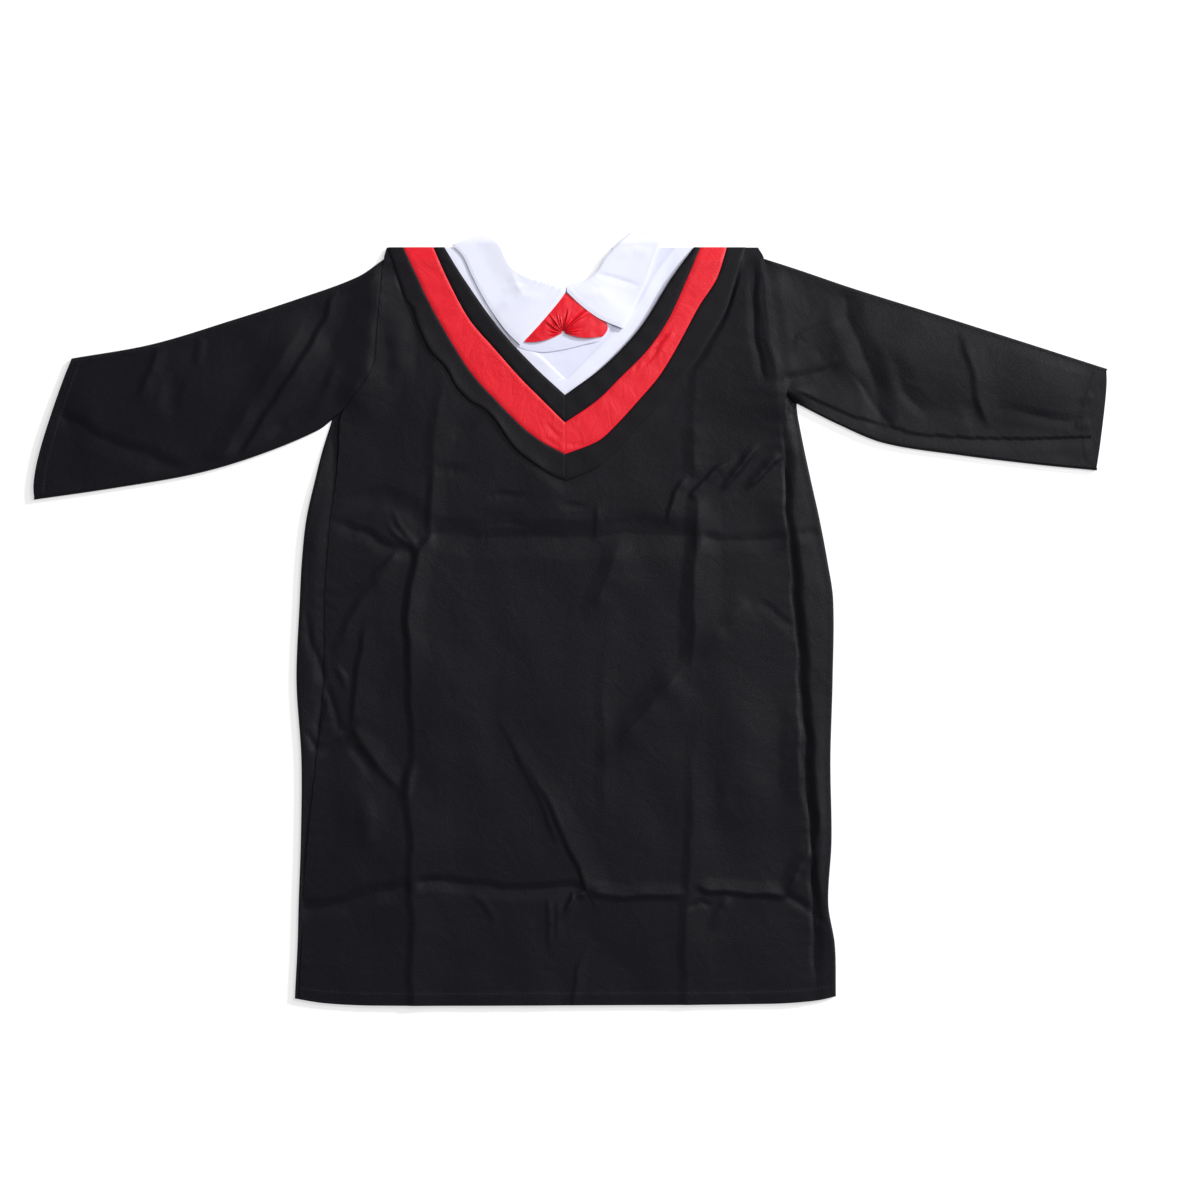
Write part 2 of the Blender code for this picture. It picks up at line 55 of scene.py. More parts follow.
LAMP_DIRECTION = Vector((0.85, 0.54, 0.45))
LAMP_SPREAD = math.radians(8)
LAMP_STRENGTH = 3.5
SOFT_DIRECTION = Vector((0.48, 0.31, 0.86))
SOFT_DISTANCE = 2.6
SOFT_SIZE = 1.0
SOFT_POWER = 30
SKY_STRENGTH = 0.28

scene = bpy.context.scene
scene.view_settings.view_transform = "Standard"


def add_object(name, data):
    made = bpy.data.objects.new(name, data)
    scene.collection.objects.link(made)
    return made


def add_mesh(name, bm):
    mesh = bpy.data.meshes.new(name)
    bm.to_mesh(mesh)
    bm.free()
    return add_object(name, mesh)


def plain_material(name, roughness, specular):
    """A material and its shader, with the gloss that is the same all over it."""
    material = bpy.data.materials.new(name)
    material.use_nodes = True
    surface = material.node_tree.nodes["Principled BSDF"]
    surface.inputs["Roughness"].default_value = roughness
    surface.inputs["Specular IOR Level"].default_value = specular
    return material, surface


camera = add_object("camera", bpy.data.cameras.new("camera"))
camera.data.lens = LENS
camera.data.sensor_width = SENSOR
camera.data.clip_end = FARTHEST
camera.location = (*VIEW_CENTRE, FRAME_PIXELS * PIXEL * LENS / SENSOR)
scene.camera = camera

lamp = add_object("lamp", bpy.data.lights.new("lamp", "SUN"))
lamp.data.angle = LAMP_SPREAD
lamp.data.energy = LAMP_STRENGTH
lamp.rotation_euler = LAMP_DIRECTION.to_track_quat("Z", "Y").to_euler()
soft_lamp = add_object("soft lamp", bpy.data.lights.new("soft lamp", "AREA"))
soft_lamp.data.size = SOFT_SIZE
soft_lamp.data.energy = SOFT_POWER
soft_lamp.location = SOFT_DIRECTION.normalized() * SOFT_DISTANCE
soft_lamp.rotation_euler = SOFT_DIRECTION.to_track_quat("Z", "Y").to_euler()

scene.world = bpy.data.worlds.new("studio")
scene.world.use_nodes = True
sky = scene.world.node_tree.nodes["Background"]
sky.inputs["Color"].default_value = (1.0, 1.0, 1.0, 1)
sky.inputs["Strength"].default_value = SKY_STRENGTH

table_white, table_surface = plain_material("table white", roughness=0.9, specular=0.0)
table_surface.inputs["Base Color"].default_value = (*TABLE_WHITE, 1)
table_surface.inputs["Emission Color"].default_value = (1.0, 1.0, 1.0, 1)
table_surface.inputs["Emission Strength"].default_value = TABLE_GLOW
bm = bmesh.new()
bmesh.ops.create_grid(bm, x_segments=1, y_segments=1, size=TABLE_SIZE / 2)
bmesh.ops.translate(bm, verts=bm.verts, vec=(0, 0, -TABLE_GAP))
table = add_mesh("table", bm)
table.data.materials.append(table_white)

# Back panel: one piece of thin black polyester, flat on the table, which wraps round both
# side folds and is sewn to the front along seams that lie on top. Sizes here are millimetres.
CENTRE_X = -5.0
HEM_Y = -355.5
SHOULDER_Y = 341.0
RIGHT_ARMPIT_Y = 194.0
LEFT_ARMPIT_Y = 214.0
RIGHT_WRAP_DROP = 9.0
LEFT_WRAP_DROP = 15.0
DROP_REACH = 40
NECK_START_Y = 284
CLOTH = 0.7
ROLL = 1.9
BACK_Z = CLOTH / 2
FRONT_Z = 4.8 - CLOTH / 2
LOWEST_WRAP_Z = BACK_Z + 1.05 * CLOTH
SEAM_LAP = 0.3
DEEPEST = 3.0
SEAM_DIP = 0.9
SEAM_REACH = 12.0
PUCKER = 0.22
TRIM_SLANT = 0.7
TRIM_EASE = 9
FLAT_FROM_Y = 322
FLAT_AT_Y = 342
EVEN_AT_FOLD = 2
ARMPIT_SINK = 3.3
SINK_START = 90
SINK_END = 18
ARMPIT_TUCK = 3.5
TUCK_REACH = 7
HEM_DEPTH = 11.0
HEM_STEP = 0.2
STEP_EDGE = 0.9
STEP_ROWS = (-345.4, -344.0)
HEM_CURVE_TOP_Y = -290
JOIN_REACH = 0.01

Side = namedtuple("Side", "y right_fold right_seam left_seam left_fold")
SIDES = [
    Side(-356, -253.5, -249, 223, 244), Side(-300, -251, -246.5, 223, 243),
    Side(-262, -250, -245.5, 221, 237), Side(-204, -248, -241, 220, 240),
    Side(-130, -247.5, -233, 214, 239), Side(-57, -252, -226, 209, 241),
    Side(17, -249, -225, 203, 241.5), Side(54, -247, -223, 200.5, 236),
    Side(91, -243, -220, 198, 229), Side(127, -235, -215, 197, 221),
    Side(155, -228, -212.5, 196, 215), Side(186, -218, -210.5, 196, 209),
    Side(194, -215, -209, 196.5, 208),
]
Line = namedtuple("Line", "y right left")
ARMHOLES = [
    Line(200, -202, 197), Line(214, -190, 198.5), Line(221, -186, 194), Line(235, -179.5, 192),
    Line(265, -177, 189), Line(298, -174, 184), Line(332, -171, 177), Line(341, -168.5, 172),
]
HEM_LINE = [(-254, -349), (-225, -353.5), (-180, -355.5), (0, -355.3), (180, -354), (225, -351),
            (244, -347)]
BACK_NECK = [(-172, 341), (-106, 340.5), (-76, 335), (-58, 317), (-40, 309), (-5, 299), (14, 304),
             (28, 318), (44, 336), (70, 340.5), (175, 341)]
TRIM_OUTER = [
    Line(126, -5, -5), Line(138, -24, 24), Line(146, -34, 33), Line(174, -63, 60),
    Line(200, -89, 85), Line(235, -116, 114), Line(277, -141, 139.5),
    Line(298, -152, 148), Line(320, -160.5, 154.5), Line(341, -166.5, 160.5),
]

# Folds of the whole gown, in mm. A route runs up or to the viewer's right, so that left is the
# viewer's left of a rising fold and the upper side of a level one. Negative ones are valleys.
# Left and right are the spreads of the two sides, start and end the parts that fade out.
Fold = namedtuple("Fold", "name route height left right start end edge flare",
                  defaults=(0.3, 0.3, "crease", 1))
FOLDS = [
    Fold("right press crease, low", [(-146, -383), (-144, -287), (-146, -246), (-145, -213),
         (-149, -161), (-144, -126), (-145, -82), (-148, -20), (-148, 17), (-144, 45), (-140, 61),
         (-128, 75)], 1.5, 6.5, 40, 0.0, 0.06),
    Fold("right press crease, middle", [(-147, -75), (-149, -1), (-143, 45), (-139, 62), (-127, 76),
         (-128, 109), (-126, 138)], 1.2, 6.5, 16, 0.25, 0.08),
    Fold("right press crease, top", [(-128, 137), (-124, 169), (-120, 201), (-116, 233)], 0.8, 9, 20,
         0.0, 0.4),
    Fold("left press crease, low", [(106, -383), (106, -258), (110, -238), (112, -167), (112, -93)], 1.2,
         8, 28, 0.0, 0.3),
    Fold("left press crease, tall", [(110, -66), (113, -20), (114, 24), (115, 76), (117, 95),
         (118, 115)], 2.4, 17, 34, 0.25, 0.1, "crease", 0.6),
    Fold("left press crease, top", [(113, 129), (113, 181)], 1.3, 12, 20, 0.2, 0.15),
    Fold("left press crease, faint end", [(114, 178), (116, 256)], 0.5, 8, 16, 0.1, 0.5),
    Fold("slope below the tall crease", [(24, -138), (47, -112), (68, -90), (90, -64), (112, -36)], 3.4,
         20, 26, 0.4, 0.3),
    Fold("faint press crease", [(32, -195), (30, -75), (31, -20)], 0.6, 9, 14),
    Fold("waist crease", [(-130, 78), (-83, 75), (-10, 74), (46, 77), (119, 77)], -2.7, 17, 20, 0.03,
         0.03),
    Fold("waist crease, left end", [(119, 76), (135, 71), (158, 71), (200, 75)], -1.1, 8, 10, 0.1, 0.1),
    Fold("waist crease, left wrap", [(207, 76), (231, 80)], -1.0, 7, 7, 0.2, 0.3),
    Fold("dark hollow over the waist", [(-92, 87), (-65, 90), (-33, 86)], -0.8, 14, 6, 0.4, 0.4, "soft"),
    Fold("short upright crease", [(22, 70), (25, 91), (27, 111)], 0.8, 3.5, 9, 0.2, 0.4),
    Fold("ripple under the V", [(-80, 111), (-60, 115), (-33, 112)], -0.7, 5, 6, 0.4, 0.4, "soft"),
    Fold("second ripple under the V", [(-12, 102), (4, 104), (20, 104)], -0.6, 4, 6, 0.4, 0.4, "soft"),
    Fold("hollow beside the kink", [(-126, 135), (-111, 136), (-92, 133)], -0.8, 9, 7, 0.15, 0.5,
         "soft"),
    Fold("hollow left of the V", [(-113, 162), (-97, 175), (-81, 183)], -0.5, 9, 9, 0.4, 0.4, "soft"),
    Fold("right of the short crease", [(29, 85), (50, 91), (90, 84)], -0.6, 12, 9, 0.3, 0.3, "soft"),
    Fold("S fold", [(90, 84), (92, 96), (96, 114), (102, 124), (109, 133)], 1.5, 4, 11, 0.3, 0.2),
    Fold("curved fold", [(110, 110), (114, 115), (120, 122), (128, 131), (135, 138), (144, 142),
         (152, 150)], 1.9, 4.5, 13, 0.12, 0.35),
    Fold("left flank, first rib", [(138, 116), (149, 129), (160, 145), (174, 161)], 2.4, 7, 5),
    Fold("left flank, second rib", [(162, 116), (171, 127), (182, 140), (193, 152)], 2.2, 8, 4.5, 0.3,
         0.2),
    Fold("left flank, third rib", [(126, 96), (139, 106), (156, 115)], 0.5, 4, 7, 0.4, 0.4),
    Fold("rise to the left armpit", [(194, 137), (198, 164), (200, 190), (202, 215)], 2.6, 54, 26, 0.4,
         0.1),
    Fold("rise to the left seam", [(203, 54), (200, 81), (199, 109), (199, 132)], 1.6, 28, 10, 0.4, 0.4),
    Fold("left flank, thin crease", [(172, 20), (189, 6), (207, -8)], -0.8, 3, 9, 0.3, 0.1),
    Fold("left flank, slanting swell", [(119, -38), (132, -18), (147, -1), (171, 19)], 2.0, 17, 22, 0.4,
         0.35),
    Fold("swell under the waist", [(18, -3), (30, 28), (41, 57), (49, 76)], 1.4, 14, 30, 0.4, 0.3),
    Fold("rise to the left seam, low", [(213, -181), (210, -139), (208, -93), (207, -57)], 2.0, 18, 8,
         0.4, 0.4),
    Fold("small upright swell", [(139, -195), (141, -158), (139, -135)], 0.4, 8, 12, 0.4, 0.4, "soft"),
    Fold("long pinch, thin", [(-9, -213), (-21, -187), (-33, -158), (-46, -130), (-61, -102),
         (-74, -76)], 0.9, 2.4, 14, 0.15, 0.45),
    Fold("long pinch, thick", [(17, -253), (9, -231), (0, -213), (-12, -190), (-23, -165), (-36, -142),
         (-49, -121)], 1.8, 3, 24, 0.03, 0.6, "crease", 0.6),
    Fold("tuck beside the pinch", [(-11, -278), (-4, -266), (2, -254), (16, -251)], 1.8, 3.5, 6, 0.4,
         0.1),
    Fold("hem crease, right end", [(-253, -267), (-230, -265), (-207, -263), (-194, -257), (-180, -252),
         (-161, -250), (-145, -244)], -2.3, 10, 12, 0.1, 0.06),
    Fold("hem crease, right", [(-142, -242), (-129, -240), (-115, -242), (-97, -245), (-46, -249),
         (12, -247)], -1.7, 7, 11, 0.05, 0.05),
    Fold("hem crease, left", [(16, -250), (53, -255), (105, -253)], 1.7, 12, 6, 0.1, 0.1),
    Fold("hem crease, left end", [(114, -242), (125, -248), (165, -253), (200, -253)], 2.0, 12, 5.5,
         0.15, 0.1),
    Fold("hem crease, corner", [(197, -252), (211, -262), (227, -274)], -1.3, 6, 6, 0.15, 0.2),
    Fold("hem crease, left wrap", [(225, -272), (241, -287)], -0.9, 6, 6, 0.2, 0.3),
    Fold("crossing of the creases, one", [(104, -266), (119, -259), (130, -266)], -0.9, 5, 5),
    Fold("crossing of the creases, two", [(128, -290), (136, -272), (146, -255)], 1.3, 8, 9, 0.45, 0.2),
    Fold("hem corner, dark fold", [(197, -254), (209, -235), (222, -206)], 2.6, 11, 7, 0.2, 0.3,
         "crease", 1.4),
    Fold("hem tuck, first", [(-69, -290), (-72, -272), (-80, -261), (-94, -253)], 0.6, 3.5, 7, 0.5, 0.3),
    Fold("hem tuck, second", [(-13, -316), (-19, -291), (-21, -257)], 0.8, 3.5, 7, 0.5, 0.15),
    Fold("hem tuck, third", [(-12, -305), (-12, -282), (-12, -259)], 0.7, 3.5, 7, 0.5, 0.15),
    Fold("hem tuck, fourth", [(1, -358), (7, -323), (20, -294)], 0.8, 4, 9, 0.1, 0.5),
    Fold("right flank, long valley", [(-221, 89), (-203, 82), (-186, 77), (-175, 69), (-157, 64),
         (-141, 60)], -1.5, 8, 11, 0.25, 0.08),
    Fold("right flank, upper rib", [(-140, 61), (-150, 70), (-161, 80), (-171, 93)], 1.0, 3.5, 5, 0.1,
         0.5),
    Fold("right flank, second upper rib", [(-140, 65), (-148, 75), (-158, 89), (-165, 104)], 0.9, 3.5, 5,
         0.1, 0.5),
    Fold("right flank, hollow", [(-209, 107), (-171, 111), (-146, 102), (-132, 83)], -1.2, 14, 13, 0.3,
         0.15, "soft"),
    Fold("right flank, curved rib", [(-209, 27), (-194, 33), (-181, 40), (-170, 50), (-161, 61)], 1.1,
         4.5, 10, 0.4, 0.1),
    Fold("right flank, lower rib", [(-219, -38), (-207, -12), (-196, 8), (-183, 26), (-159, 54)], 1.2, 7,
         14, 0.25, 0.25),
    Fold("right flank, upright", [(-202, -101), (-198, -80), (-194, -43), (-191, -20), (-185, 10)], 1.5,
         5, 26, 0.12, 0.4),
    Fold("right flank, hooked valley", [(-224, -56), (-218, -84), (-214, -100), (-207, -105),
         (-199, -103)], -1.1, 5, 6, 0.2, 0.2),
    Fold("right flank, small rib", [(-205, -66), (-209, -52), (-217, -41)], 0.9, 5, 5, 0.4, 0.4, "soft"),
    Fold("right flank, slanting fold", [(-151, -161), (-166, -147), (-180, -130), (-194, -112),
         (-203, -100)], 1.5, 3.5, 15, 0.25, 0.1),
    Fold("right flank, soft hollow", [(-177, -149), (-192, -127), (-203, -114)], -1.1, 9, 6, 0.45, 0.2,
         "soft"),
    Fold("right flank, short valley", [(-232, -127), (-217, -116), (-201, -107)], -1.3, 4, 10, 0.25,
         0.2),
    Fold("right flank, by the crease", [(-155, -172), (-149, -156), (-143, -132)], 1.4, 9, 7, 0.4, 0.4,
         "soft"),
    Fold("right wrap crease", [(-224, -58), (-229, -43), (-239, -20), (-250, 21)], -1.1, 9, 4.5, 0.1,
         0.15),
    Fold("right wrap valley", [(-251, -100), (-242, -108), (-231, -120)], -1.4, 5, 6, 0.1, 0.2),
    Fold("right wrap, hollow by the seam", [(-234, -112), (-231, -89), (-227, -66)], -1.0, 6, 5, 0.3,
         0.3, "soft"),
    Fold("upright swell in the right flank", [(-183, -222), (-188, -185), (-190, -158)], 0.8, 12, 12,
         0.4, 0.4, "soft"),
    Fold("broad swell in the middle", [(-106, -195), (-111, -112), (-109, -20)], 1.4, 34, 44, 0.4, 0.4,
         "soft"),
    Fold("broad swell on the right", [(158, -222), (158, -130), (154, -38)], 2.0, 34, 36, 0.4, 0.4,
         "soft"),
    Fold("broad swell, right half", [(-194, -231), (-197, -167), (-207, -130)], 1.2, 26, 30, 0.4, 0.4,
         "soft"),
    Fold("left wrap, sunk strip", [(225, -342), (222, -277), (221, -213), (215, -149), (212, -75),
         (208, -20), (205, 26), (200, 81), (196, 137), (196, 183)], -1.8, 2.5, 10, 0.1, 0.1),
    Fold("left wrap, raised line", [(242, -287), (236, -263), (228, -234), (225, -207), (229, -182),
         (225, -140), (221, -75), (217, -20), (214, 17), (207, 79), (202, 127), (200, 150)], 2.2, 9, 24,
         0.05, 0.06),
    Fold("broad rise to the left armhole", [(193, 173), (189, 215), (179, 265), (167, 328)], 3.0, 76, 55,
         0.2, 0.15, "crease", 0.7),
    Fold("armhole ripple", [(114, 232), (139, 249), (165, 254)], 0.5, 5, 9, 0.4, 0.4),
    Fold("right sleeve, rise to the armhole", [(-212, 191), (-196, 205), (-188, 219), (-184, 247),
         (-180, 275), (-177, 302), (-175, 321)], 3.4, 36, 34, 0.2, 0.1),
    Fold("right sleeve, long fold", [(-311, 138), (-292, 164), (-274, 192), (-255, 224), (-237, 252),
         (-223, 275), (-216, 306)], 1.9, 5, 15, 0.05, 0.1),
    Fold("right sleeve, swell before it", [(-328, 133), (-308, 169), (-289, 199), (-270, 232),
         (-253, 260), (-238, 288)], 1.8, 18, 13, 0.1, 0.3),
    Fold("right sleeve, upper crease", [(-398, 197), (-387, 224), (-376, 253)], 1.4, 5, 12, 0.3, 0.1),
    Fold("right sleeve, hollow beside it", [(-364, 178), (-367, 201), (-363, 229)], -1.0, 12, 12, 0.4,
         0.4, "soft"),
    Fold("right sleeve, crease to the cuff", [(-474, 187), (-451, 178), (-433, 166), (-414, 159),
         (-387, 150), (-353, 131)], -1.5, 10, 16, 0.1, 0.05),
    Fold("right sleeve, small upper fold", [(-343, 233), (-338, 261)], 0.8, 6, 8, 0.3, 0.2, "soft"),
    Fold("right sleeve, hollow by the underarm", [(-284, 164), (-258, 178), (-229, 196)], -1.2, 12, 10,
         0.4, 0.4, "soft"),
    Fold("right sleeve, short rib", [(-232, 194), (-221, 215), (-214, 238)], 1.1, 7, 9, 0.4, 0.4),
    Fold("left sleeve, long fold", [(288, 175), (281, 206), (274, 233), (264, 256), (254, 278),
         (250, 306)], -2.2, 16, 16, 0.05, 0.2),
    Fold("left sleeve, short fold", [(297, 175), (280, 196), (268, 212), (255, 229)], -0.9, 3.5, 6, 0.1,
         0.3),
    Fold("left sleeve, elbow fold", [(334, 181), (317, 197), (306, 208), (299, 227), (288, 251)], -1.3,
         9, 14, 0.25, 0.4),
    Fold("left sleeve, cuff fold", [(386, 173), (375, 201), (369, 227), (363, 247), (358, 273)], 1.4,
         4.5, 18, 0.15, 0.3),
    Fold("left sleeve, hollow beside it", [(372, 175), (369, 190), (364, 203)], -0.6, 10, 10, 0.4, 0.4,
         "soft"),
    Fold("left sleeve, arc", [(205, 242), (210, 259), (225, 266), (252, 273)], 1.0, 4.5, 11),
    Fold("left sleeve, hollow under the arc", [(222, 238), (237, 245), (250, 252)], -0.6, 10, 9, 0.3,
         0.4, "soft"),
    Fold("left sleeve, armpit crease", [(195, 219), (211, 222), (234, 226), (250, 234)], -1.5, 7, 11,
         0.1, 0.3),
    Fold("left sleeve, low crease", [(384, 195), (414, 189), (441, 183), (473, 182)], -0.9, 8, 9, 0.4,
         0.2),
    Fold("left sleeve, cuff ripple", [(467, 201), (480, 205)], 0.5, 6, 7, 0.2, 0.2, "soft"),
    Fold("left sleeve, second cuff ripple", [(465, 178), (480, 179)], 0.5, 6, 7, 0.2, 0.2, "soft"),
    Fold("roll along the left armhole", [(190, 221), (184, 252), (181, 284), (176, 311), (172, 339)],
         1.5, 13, 26, 0.1, 0.1),
    Fold("broad swell of the left sleeve", [(225, 262), (330, 238), (470, 208)], 3.0, 46, 48, 0.15, 0.1,
         "soft"),
    Fold("broad swell of the right sleeve", [(-462, 176), (-360, 204), (-225, 262)], 3.0, 52, 44, 0.1,
         0.15, "soft"),
    Fold("groove beside the roll", [(182, 215), (174, 229), (170, 252), (168, 293), (168, 328)], -1.0, 7,
         5, 0.15, 0.15),
    Fold("ripple over the left armpit", [(114, 199), (139, 205), (163, 212)], 0.4, 5, 9, 0.4, 0.4),
    Fold("right shoulder swell", [(-159, 206), (-155, 247), (-161, 288)], 1.2, 14, 16, 0.4, 0.4, "soft"),
]

# The waver along each fold, and the broad low swells of cloth that lies by its own weight.
CREASE_SHARPNESS = 1.25
UNEVENNESS = 0.14
SWELL_COUNT = 14
SWELL_LENGTH = 38
SWELL_GROWTH = 1.13
SWELL_HEIGHT = 0.0013


def smooth(knots):
    """A curve through (at, value) knots, for numbers or arrays, level past its ends."""
    at, value = np.array(knots, float).T
    before = np.maximum(np.arange(len(at)) - 1, 0)
    after = np.minimum(np.arange(len(at)) + 1, len(at) - 1)
    slope = (value[after] - value[before]) / (at[after] - at[before])

    def read(x):
        x = np.clip(x, at[0], at[-1])
        i = np.clip(np.searchsorted(at, x, side="right") - 1, 0, len(at) - 2)
        width = at[i + 1] - at[i]
        s = (x - at[i]) / width
        rise = s * s * (3 - 2 * s)
        bend = slope[i] * s * (1 - s) ** 2 - slope[i + 1] * s * s * (1 - s)
        return value[i] * (1 - rise) + value[i + 1] * rise + bend * width

    return read


def smooth_side(rows, side):
    return smooth([(row.y, getattr(row, side)) for row in rows])


def ease(x, start, end):
    s = np.clip((x - start) / (end - start), 0.0, 1.0)
    return s * s * (3 - 2 * s)


def mix(a, b, s):
    return a + (b - a) * s


def spread(*spans):
    """Positions along spans of (start, end, steps)."""
    places = [spans[0][0]]
    for start, end, steps in spans:
        places += list(np.linspace(start, end, steps + 1)[1:])
    return np.array(places)


def near_route(route, x, y):
    """Distance to a route, which side of it (1 on its left) and how far along, 0 to 1."""
    points = np.array(route, float)
    legs = np.hypot(*(points[1:] - points[:-1]).T)
    best = np.full(np.shape(x), 1e9)
    side = np.ones(np.shape(x))
    along = np.zeros(np.shape(x))
    gone = 0.0
    for (x0, y0), (x1, y1), leg in zip(points, points[1:], legs):
        dx, dy = (x1 - x0) / leg, (y1 - y0) / leg
        reach = np.clip((x - x0) * dx + (y - y0) * dy, 0, leg)
        away = np.hypot(x - x0 - reach * dx, y - y0 - reach * dy)
        closer = away < best
        best = np.where(closer, away, best)
        side = np.where(closer, np.where(dx * (y - y0) - dy * (x - x0) > 0, 1.0, -1.0), side)
        along = np.where(closer, (gone + reach) / legs.sum(), along)
        gone += leg
    return best, side, along


def fold_shape(fold, x, y):
    """Height of one fold. Flare widens it toward its end, and its name only shifts its unevenness."""
    away, side, along = near_route(fold.route, x, y)
    u = np.clip(away / (np.where(side > 0, fold.left, fold.right) * mix(1, fold.flare, along)), 0, 1)
    crest = (1 - u) ** CREASE_SHARPNESS if fold.edge == "crease" else (1 - u * u) ** 2
    fade = ease(along + 0.02, 0, fold.start + 0.03) * ease(1.02 - along, 0, fold.end + 0.03)
    uneven = np.sin(along * 19 + fold.height * 9) * np.sin(along * 8 + len(fold.name))
    return fold.height * crest * fade * (1 + UNEVENNESS * uneven)


rng = np.random.default_rng(11)
SWELLS = [(rng.uniform(0, math.pi), SWELL_LENGTH * SWELL_GROWTH ** k, rng.uniform(0, 6.3))
          for k in range(SWELL_COUNT)]


def restless(x, y):
    """The slight unevenness of cloth that lies by its own weight."""
    height = np.zeros(np.shape(x))
    for angle, length, phase in SWELLS:
        across = x * math.cos(angle) + y * math.sin(angle)
        bent = across + 0.12 * length * np.sin((y * math.cos(angle) - x * math.sin(angle)) / length * 2)
        height += SWELL_HEIGHT * length * np.sin(bent * 2 * math.pi / length + phase)
    return height


EDGES = [Line(row.y, row.right_seam, row.left_seam) for row in SIDES[:-1]] + ARMHOLES
right_fold, left_fold = smooth_side(SIDES, "right_fold"), smooth_side(SIDES, "left_fold")
right_edge, left_edge = smooth_side(EDGES, "right"), smooth_side(EDGES, "left")
hem = smooth(HEM_LINE)
back_neck = smooth(BACK_NECK)
trim_bottom = smooth([(row.right, row.y) for row in reversed(TRIM_OUTER)]
                     + [(row.left, row.y) for row in TRIM_OUTER[1:]])


def hem_shift(x, y):
    return (hem(x) - HEM_Y) * (1 - ease(y, HEM_Y, HEM_CURVE_TOP_Y))


def turned_edge(away, depth):
    """Step in the cloth where a hem or a cuff is turned, by the distance from its edge."""
    return HEM_STEP * (1 - ease(away, depth - STEP_EDGE, depth + STEP_EDGE))


def seam_dip(away):
    return -SEAM_DIP * (1 - ease(away, 0, SEAM_REACH))


def seam_pucker(away, y):
    ripple = np.sin(y * 0.42 + 2.2 * np.sin(y * 0.063))
    return PUCKER * ripple * np.exp(-away / 7) * (1 - np.exp(-away / 2))


def cloth_height(x, y):
    """Height of the top cloth over its resting level, flat under the bands."""
    below_trim = TRIM_SLANT * (trim_bottom(x) - y)
    bent_x = x + 0.9 * np.sin(y / 13 + np.sin(x / 31)) + 0.5 * np.sin(y / 5.7 + x / 9)
    bent_y = y + 0.9 * np.sin(x / 14 + np.sin(y / 29)) + 0.5 * np.sin(x / 6.1 - y / 8)
    height = sum([fold_shape(fold, bent_x, bent_y) for fold in FOLDS]) + restless(x, y)
    height = np.where(height < 0, -DEEPEST * np.tanh(-height / DEEPEST), height)
    return height * ease(below_trim, 0, TRIM_EASE) * (1 - ease(y, FLAT_FROM_Y, FLAT_AT_Y))


def lay_cloth(name, grids, wall, rim_only):
    """A cloth piece in mm from grids of (across, along, place), joined where they meet."""
    bm = bmesh.new()
    cloth_map = bm.loops.layers.uv.new("Cloth")
    for across, along, place in grids:
        made = bmesh.ops.create_grid(bm, x_segments=len(across) - 1,
                                     y_segments=len(along) - 1, size=0.5)["verts"]
        start = np.array([vert.co for vert in made]) + 0.5
        i = np.rint(start[:, 0] * (len(across) - 1)).astype(int)
        j = np.rint(start[:, 1] * (len(along) - 1)).astype(int)
        x, y, z, u, v = place(across[i], along[j])
        marks = {}
        for vert, point, mark in zip(made, np.stack((x, y, z), 1) * MM, np.stack((u, v), 1) * MM):
            vert.co = point
            marks[vert] = mark
        for face in {face for vert in made for face in vert.link_faces}:
            for loop in face.loops:
                loop[cloth_map].uv = marks[loop.vert]
    bmesh.ops.remove_doubles(bm, verts=bm.verts, dist=JOIN_REACH * MM)
    for edge in bm.edges:
        edge.smooth = not edge.is_boundary
    piece = add_mesh(name, bm)
    piece.data.shade_smooth()
    thickness = piece.modifiers.new("wall", "SOLIDIFY")
    thickness.thickness = wall * MM
    thickness.offset = -1 if rim_only else 0
    thickness.use_rim_only = rim_only
    return piece


def dress(node, grids, wall, material, rim_only=False):
    """Lays the cloth that stands for a node, hides the node's part and says how it is coloured and held.
    """
    cloth = lay_cloth(f"{node}_cloth", grids, wall, rim_only)
    cloth.data.materials.append(material)
    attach(cloth, "root")
    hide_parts(node)
    return cloth


# The length in metres of the waves of a wave texture at scale 1.
WAVE_UNIT = 2 * math.pi / 20


def add_node(nodes, kind, **values):
    made = nodes.new(kind)
    for socket, value in values.items():
        made.inputs[socket].default_value = value
    return made


def two_shades(surface, factor, shade, colour):
    nodes, links = surface.id_data.nodes, surface.id_data.links
    shades = nodes.new("ShaderNodeMix")
    shades.data_type = "RGBA"
    shades.inputs["A"].default_value = (*shade, 1)
    shades.inputs["B"].default_value = (*colour, 1)
    links.new(factor, shades.inputs["Factor"])
    links.new(shades.outputs["Result"], surface.inputs["Base Color"])


